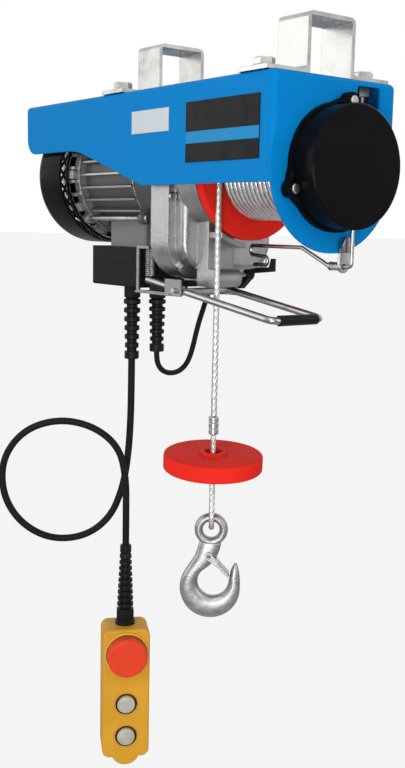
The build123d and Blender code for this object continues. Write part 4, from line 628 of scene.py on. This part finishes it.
# Fan cover: a solid rim, crossed bars beside the motor, and rings with spokes at the end
COVER_LEFT, COVER_FACE_IN, COVER_RIGHT = -0.280, -0.2773, -0.208
COVER_R, COVER_IN_R, COVER_MOUTH_R = 0.076, 0.0733, 0.056
LATTICE_LEFT, LATTICE_RIGHT, CROSSES, BAR_HALF_ANGLE = -0.2255, -0.2105, 30, 0.0115
FACE_RINGS, FACE_HUB_R, FACE_SPOKES = ((0.0465, 0.0495), (0.0365, 0.0395), (0.0265, 0.0295)), 0.0195, 12
rim = turned([(COVER_LEFT, COVER_MOUTH_R), (COVER_LEFT, 0.066), (-0.2792, 0.0702), (-0.2766, 0.0734),
              (-0.2732, 0.0753), (-0.268, COVER_R), (LATTICE_LEFT, COVER_R), (LATTICE_LEFT, COVER_IN_R),
              (-0.268, COVER_IN_R), (-0.2745, 0.0715), (COVER_FACE_IN, 0.066),
              (COVER_FACE_IN, COVER_MOUTH_R)], AXIS, X, 96)
lip = ring(LATTICE_RIGHT, COVER_RIGHT, COVER_IN_R, COVER_R)


def lattice_bar(start, lean):
    """A bar of the lattice, leaning one step to either side as it crosses from rim to lip."""
    rings = []
    for share in (0, 0.25, 0.5, 0.75, 1):
        angle = start + TAU / CROSSES * lean * (share - 0.5)
        x = LATTICE_LEFT + (LATTICE_RIGHT - LATTICE_LEFT) * share
        rings.append([about_axis(x, r, angle + w) for r, w in (
            (COVER_IN_R, -BAR_HALF_ANGLE), (COVER_R, -BAR_HALF_ANGLE), (COVER_R, BAR_HALF_ANGLE),
            (COVER_IN_R, BAR_HALF_ANGLE))])
    return skin(rings)


bars = [lattice_bar(start, lean) for start in around(CROSSES) for lean in (1, -1)]
face_rings = [ring(COVER_LEFT, COVER_FACE_IN, low, high, 72) for low, high in FACE_RINGS]
face_hub = ring(COVER_LEFT, COVER_FACE_IN, 0, FACE_HUB_R, 48)
spokes = [radial_block(angle, -0.2799, COVER_FACE_IN, 0.018, 0.057, 0.0014) for angle in around(FACE_SPOKES)]
fan_cover = crisp(new_piece("fan_cover_lattice", join(rim, lip, *bars, *face_rings, face_hub, *spokes),
                            GLOSS_BLACK))
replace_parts(fan_cover, "fan_cover")

# End shield: its spigot is painted near white as the light that shows through the lattice, and the fingers
# that hold the cover carry painted highlights
SPIGOT = (-0.2250, -0.2110, 0.0712, 0.0722)
FINGER, FINGER_ROOT = (-0.2215, -0.1995, 0.0700, 0.0722), (-0.2015, -0.1990, 0.0655, 0.0722)
FINGERS, FINGER_HALF = 30, 0.0017
crisp(new_piece("shield_spigot_painted_light", ring(*SPIGOT), LIGHT_THROUGH_LATTICE))
fingers = [radial_block(angle, *sizes, FINGER_HALF) for angle in around(FINGERS, 0.5)
           for sizes in (FINGER, FINGER_ROOT)]
crisp(new_piece("shield_fingers", join(*fingers), EDGE_HIGHLIGHT))

# Motor housing: a ring of painted highlight at each end, and painted highlights on the fin edges where they
# stand out
HOUSING_RINGS = ((-0.1990, -0.1968, 0.0650, 0.0664), (-0.0975, -0.0959, 0.0598, 0.0612))
HIGHLIGHT_FROM_R = 0.0638
crisp(new_piece("housing_end_highlight_rings", join(*[ring(*sizes) for sizes in HOUSING_RINGS]), EDGE_HIGHLIGHT))
housing = NODES["motor_housing"].data
housing.materials.append(EDGE_HIGHLIGHT)
for face in housing.polygons:
    middle = NODES["motor_housing"].matrix_world @ face.center
    if math.hypot(middle.y, middle.z - AXIS_Z) > HIGHLIGHT_FROM_R:
        face.material_index = 1

# End cover: webs that flare from its rim out to the three ears, as (x, half spread, ear radius)
EARS, EAR_PLACE_R = (80, 200, 320), 60.4 * MM
WEB_R, WEB_IN_R = 57.2 * MM, 55.8 * MM
WEB_LAYERS = ((0.1442, 27, 8 * MM), (0.1468, 22, 7.9 * MM), (0.1500, 16, 7.6 * MM), (0.1524, 12, 7.2 * MM))


def ear_web(ear):
    rings = []
    for x, spread, ear_r in WEB_LAYERS:
        centre = about_axis(x, EAR_PLACE_R, math.radians(ear))
        tip = [centre + about_axis(0, ear_r, math.radians(ear + turn)) - AXIS
               for turn in (-75, -35, 0, 35, 75)]
        foot = [about_axis(x, r, math.radians(ear + turn)) for r, turn in (
            (WEB_R, -spread), (WEB_R, spread), (WEB_IN_R, spread / 2), (WEB_IN_R, -spread / 2))]
        rings.append(foot[:1] + tip + foot[1:])
    return skin(rings)


bevel(crisp(new_piece("cover_ear_webs", join(*[ear_web(ear) for ear in EARS]), GLOSS_BLACK)), 0.5 * MM)

# Cable glands: thick zigzag bellows between a hexagonal cap nut and an end collar
NUT_LOW, NUT_HIGH = -0.2155, -0.2045
RIBS, RIBS_TOP = 6, -217.5


def gland(name, place, low):
    rows = [(-203.9, 0), (-203.9, 9), (-205, 10), (-214.6, 10), (-216, 9), (RIBS_TOP, 6.6)]
    ribs_low = low + 9
    pitch = (RIBS_TOP - ribs_low) / RIBS
    for k in range(RIBS):
        top, wide, neck = RIBS_TOP - k * pitch, 9.6 - 0.35 * k, 6.2 - 0.12 * k
        rows += [(top - pitch * 0.12, wide), (top - pitch * 0.58, wide), (top - pitch * 0.72, neck),
                 (top - pitch, neck)]
    rows += [(ribs_low - 0.4, 8.2), (low + 0.8, 8.2), (low, 7.4), (low, 0)]
    shape = turned(in_mm(rows), place, Z, 48, side=X)
    shape = six_sided(shape, place, NUT_LOW, NUT_HIGH, inside=0.0085, flat=0.0089)
    return crisp(new_piece(name, shape, BLACK), 30)


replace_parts(gland("pendant_cable_bellows", GLAND, -286), "pendant_cable_gland")
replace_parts(gland("mains_cable_bellows", MAINS_GLAND, -277), "mains_cable_gland")

# Boot on the pendant: nine ribs that grow downwards, and a hexagonal nut above the shells
BOOT_RIBS, BOOT_PITCH, BOOT_RIBS_TOP = 9, 7.2, -514.5
BOOT_NUT_LOW, BOOT_NUT_HIGH = -0.5932, -0.5812
rows = [(-503.5, 0), (-503.5, 6), (-504.3, 6.6), (-512, 6.6), (-513, 5.6)]
for k in range(BOOT_RIBS):
    top, wide, neck = BOOT_RIBS_TOP - k * BOOT_PITCH, 6.9 + 0.32 * k, 5.6 + 0.1 * k
    rows += [(top - 1.2, wide), (top - 4.4, wide + 0.15), (top - 5.4, neck), (top - BOOT_PITCH, neck)]
rows += [(-580.5, 9.4), (-581.5, 11), (-593, 11), (-594, 10), (-595, 11.5), (-598.9, 11.5), (-598.9, 0)]
boot = turned(in_mm(rows), PENDANT, Z, 60, side=PENDANT_SIDE)
boot = six_sided(boot, PENDANT, BOOT_NUT_LOW, BOOT_NUT_HIGH, inside=0.0105, flat=0.0098)
pendant_boot = crisp(new_piece("pendant_boot", boot, BLACK), 30)
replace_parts(pendant_boot, "pendant_gland")

# Springs as wound wire: one on the slack rope rod, and two that pull the bail down
BAIL_SPRINGS_X, BAIL_SPRINGS_Y = (-0.066, -0.059), -0.060
rod_coils = spring((0.1312, 0.014, -0.170), (0.1432, 0.014, -0.170), 3.2 * MM, 6, 0.85 * MM)
rod_spring = new_piece("rod_spring_coils", rod_coils, ZINC)
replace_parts(rod_spring, "rod_spring")

bail_coils = [spring((x, BAIL_SPRINGS_Y, -0.1600), (x, BAIL_SPRINGS_Y, -0.1880), 2.35 * MM, 14, 0.5 * MM)
              for x in BAIL_SPRINGS_X]
bail_springs = new_piece("bail_spring_coils", join(*bail_coils), ZINC, None)
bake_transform(bail_springs)
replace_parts(bail_springs, "bail_springs")

# Plates on the side panel, left bare: a light name plate, and a black plate with one coloured band
PLATE_FACE, PANEL_FACE = -0.0778, -0.0770
name_plate = block((-0.073, PLATE_FACE, -0.0445), (-0.008, PANEL_FACE, -0.0220))
bevel(new_piece("name_plate_bare", name_plate, PLATE, smooth=False), 0.2 * MM)
rating_shape = block((0.020, PLATE_FACE, -0.0760), (0.128, PANEL_FACE, -0.0200))
rating_plate = bevel(new_piece("rating_plate_bare", rating_shape, LABEL, smooth=False), 0.2 * MM)
band = block((0.0202, PLATE_FACE - 0.00003, -0.0585), (0.1278, PLATE_FACE + 0.0001, -0.0475))
new_piece("rating_plate_band", band, BAND, smooth=False)
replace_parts(rating_plate, "label_plates")


# Push buttons: pale domes in dark bezel rings, set higher so they also paint the recess shade wider at the
# top, and the lighter collar round the stop button
def on_pendant(rows, z, segments):
    """A form turned round a line that stands out of the pendant's face at this height."""
    return turned(in_mm(rows), Vector((PENDANT.x, PENDANT.y, z)), PENDANT_OUT, segments)


RING_UP_PAINTED_SHADE = 0.0009
STOP_Z = -0.6275
dome_rows = [(7.5, 0), (7.5, 10.6), (24.6, 10.6), (25.8, 10.2), (26.7, 8.6), (27.2, 5.5), (27.4, 0)]
button_ring_rows = [(24.85, 10.9), (24.85, 12.5), (25.1, 12.7), (25.1, 10.9)]
collar_rows = [(23.1, 23.9), (23.1, 26.2), (25.6, 25.8), (26.3, 25.0), (26.3, 23.9)]
for name, z in (("up_button", -0.690), ("down_button", -0.730)):
    piece = crisp(new_piece(name + "_dome", on_pendant(dome_rows, z, 48), WHITE, name), 50)
    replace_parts(piece, name)
    # Each black ring is a bezel set higher than its dome, so it also paints the shade in the recess, wider
    # at the top
    crisp(new_piece(name + "_ring", on_pendant(button_ring_rows, z + RING_UP_PAINTED_SHADE, 48), BLACK))
crisp(new_piece("stop_collar", on_pendant(collar_rows, STOP_Z, 64), AMBER_LIGHT))

# Camera at the photograph's place
CAMERA_PLACE, CAMERA_LENS = (0.8153, -0.6636, -0.1358), 47.38
right = Vector((0.60758, 0.79392, 0.02093))
up = Vector((-0.13490, 0.07720, 0.98779))
back = Vector((0.78268, -0.60306, 0.15402))
camera_data = bpy.data.cameras.new("camera")
camera_data.lens = CAMERA_LENS
camera_data.sensor_width = 36
camera = bpy.data.objects.new("camera", camera_data)
bpy.context.scene.collection.objects.link(camera)
camera.matrix_world = Matrix([(*row, place) for row, place in zip(zip(right, up, back), CAMERA_PLACE)]
                             + [(0, 0, 0, 1)])
bpy.context.scene.camera = camera
bpy.context.scene.view_settings.view_transform = "Standard"


# Studio lights
def area_light(name, place, aim, size, power):
    light = bpy.data.lights.new(name, "AREA")
    light.shape = "RECTANGLE"
    light.size, light.size_y = size
    light.energy = power
    lamp = bpy.data.objects.new(name, light)
    lamp.location = place
    lamp.rotation_euler = (Vector(aim) - Vector(place)).to_track_quat("-Z", "Y").to_euler()
    bpy.context.scene.collection.objects.link(lamp)


area_light("key", (0.9, -1.6, 1.3), (0, 0, -0.2), (1.0, 1.0), 11)
area_light("front", (1.15, -1.25, -0.45), (0, 0, -0.15), (0.8, 0.8), 14)
area_light("fill", (1.9, 0.4, 0.3), (0, 0, -0.25), (1.0, 1.4), 8)
area_light("left", (-1.4, -1.5, 0.2), (-0.1, 0, -0.3), (0.9, 1.4), 7)
area_light("top", (0.1, 0.2, 1.8), (0, 0, 0), (1.2, 1.2), 4)


def white_world():
    """A world that looks white to the camera and in reflections, and lights the part softly."""
    world = bpy.data.worlds.new("studio")
    bpy.context.scene.world = world
    world.use_nodes = True
    tree = world.node_tree
    tree.nodes.clear()
    ray = node(tree, "ShaderNodeLightPath", (-600, 200))
    lit = node(tree, "ShaderNodeBackground", (-300, 0))
    lit.inputs["Color"].default_value = (0.93, 0.95, 1.0, 1)
    lit.inputs["Strength"].default_value = 0.42
    white = node(tree, "ShaderNodeBackground", (-300, -150))
    white.inputs["Color"].default_value = (1, 1, 1, 1)
    white.inputs["Strength"].default_value = 1
    choice = node(tree, "ShaderNodeMixShader", (0, 0))
    out = node(tree, "ShaderNodeOutputWorld", (200, 0))
    seen = ray.outputs["Is Camera Ray"]
    for kind in ("Is Glossy Ray", "Is Transmission Ray"):
        either = node(tree, "ShaderNodeMath", (-450, 200), operation="MAXIMUM")
        tree.links.new(seen, either.inputs[0])
        tree.links.new(ray.outputs[kind], either.inputs[1])
        seen = either.outputs["Value"]
    tree.links.new(seen, choice.inputs["Fac"])
    tree.links.new(lit.outputs["Background"], choice.inputs[1])
    tree.links.new(white.outputs["Background"], choice.inputs[2])
    tree.links.new(choice.outputs["Shader"], out.inputs["Surface"])


def pale_floor(size, height):
    """A plain pale floor, lit a little by itself where the camera sees it."""
    bpy.ops.mesh.primitive_plane_add(size=size, location=(0, 0, height))
    floor = bpy.context.object
    floor.name = "floor"
    mat = bpy.data.materials.new("floor_white")
    mat.use_nodes = True
    tree = mat.node_tree
    shader = tree.nodes["Principled BSDF"]
    shader.inputs["Base Color"].default_value = (0.9, 0.9, 0.9, 1)
    shader.inputs["Roughness"].default_value = 0.7
    pale = node(tree, "ShaderNodeEmission", (-200, -300))
    pale.inputs["Color"].default_value = (0.96, 0.96, 0.96, 1)
    ray = node(tree, "ShaderNodeLightPath", (-600, 300))
    share = node(tree, "ShaderNodeMath", (-300, 300), operation="MULTIPLY")
    share.inputs[1].default_value = 0.9
    mixed = node(tree, "ShaderNodeMixShader", (300, 200))
    tree.links.new(ray.outputs["Is Camera Ray"], share.inputs[0])
    tree.links.new(share.outputs["Value"], mixed.inputs["Fac"])
    tree.links.new(shader.outputs["BSDF"], mixed.inputs[1])
    tree.links.new(pale.outputs["Emission"], mixed.inputs[2])
    tree.links.new(mixed.outputs["Shader"], tree.nodes["Material Output"].inputs["Surface"])
    floor.data.materials.append(mat)
    return floor


white_world()
floor = pale_floor(400, -2.2)
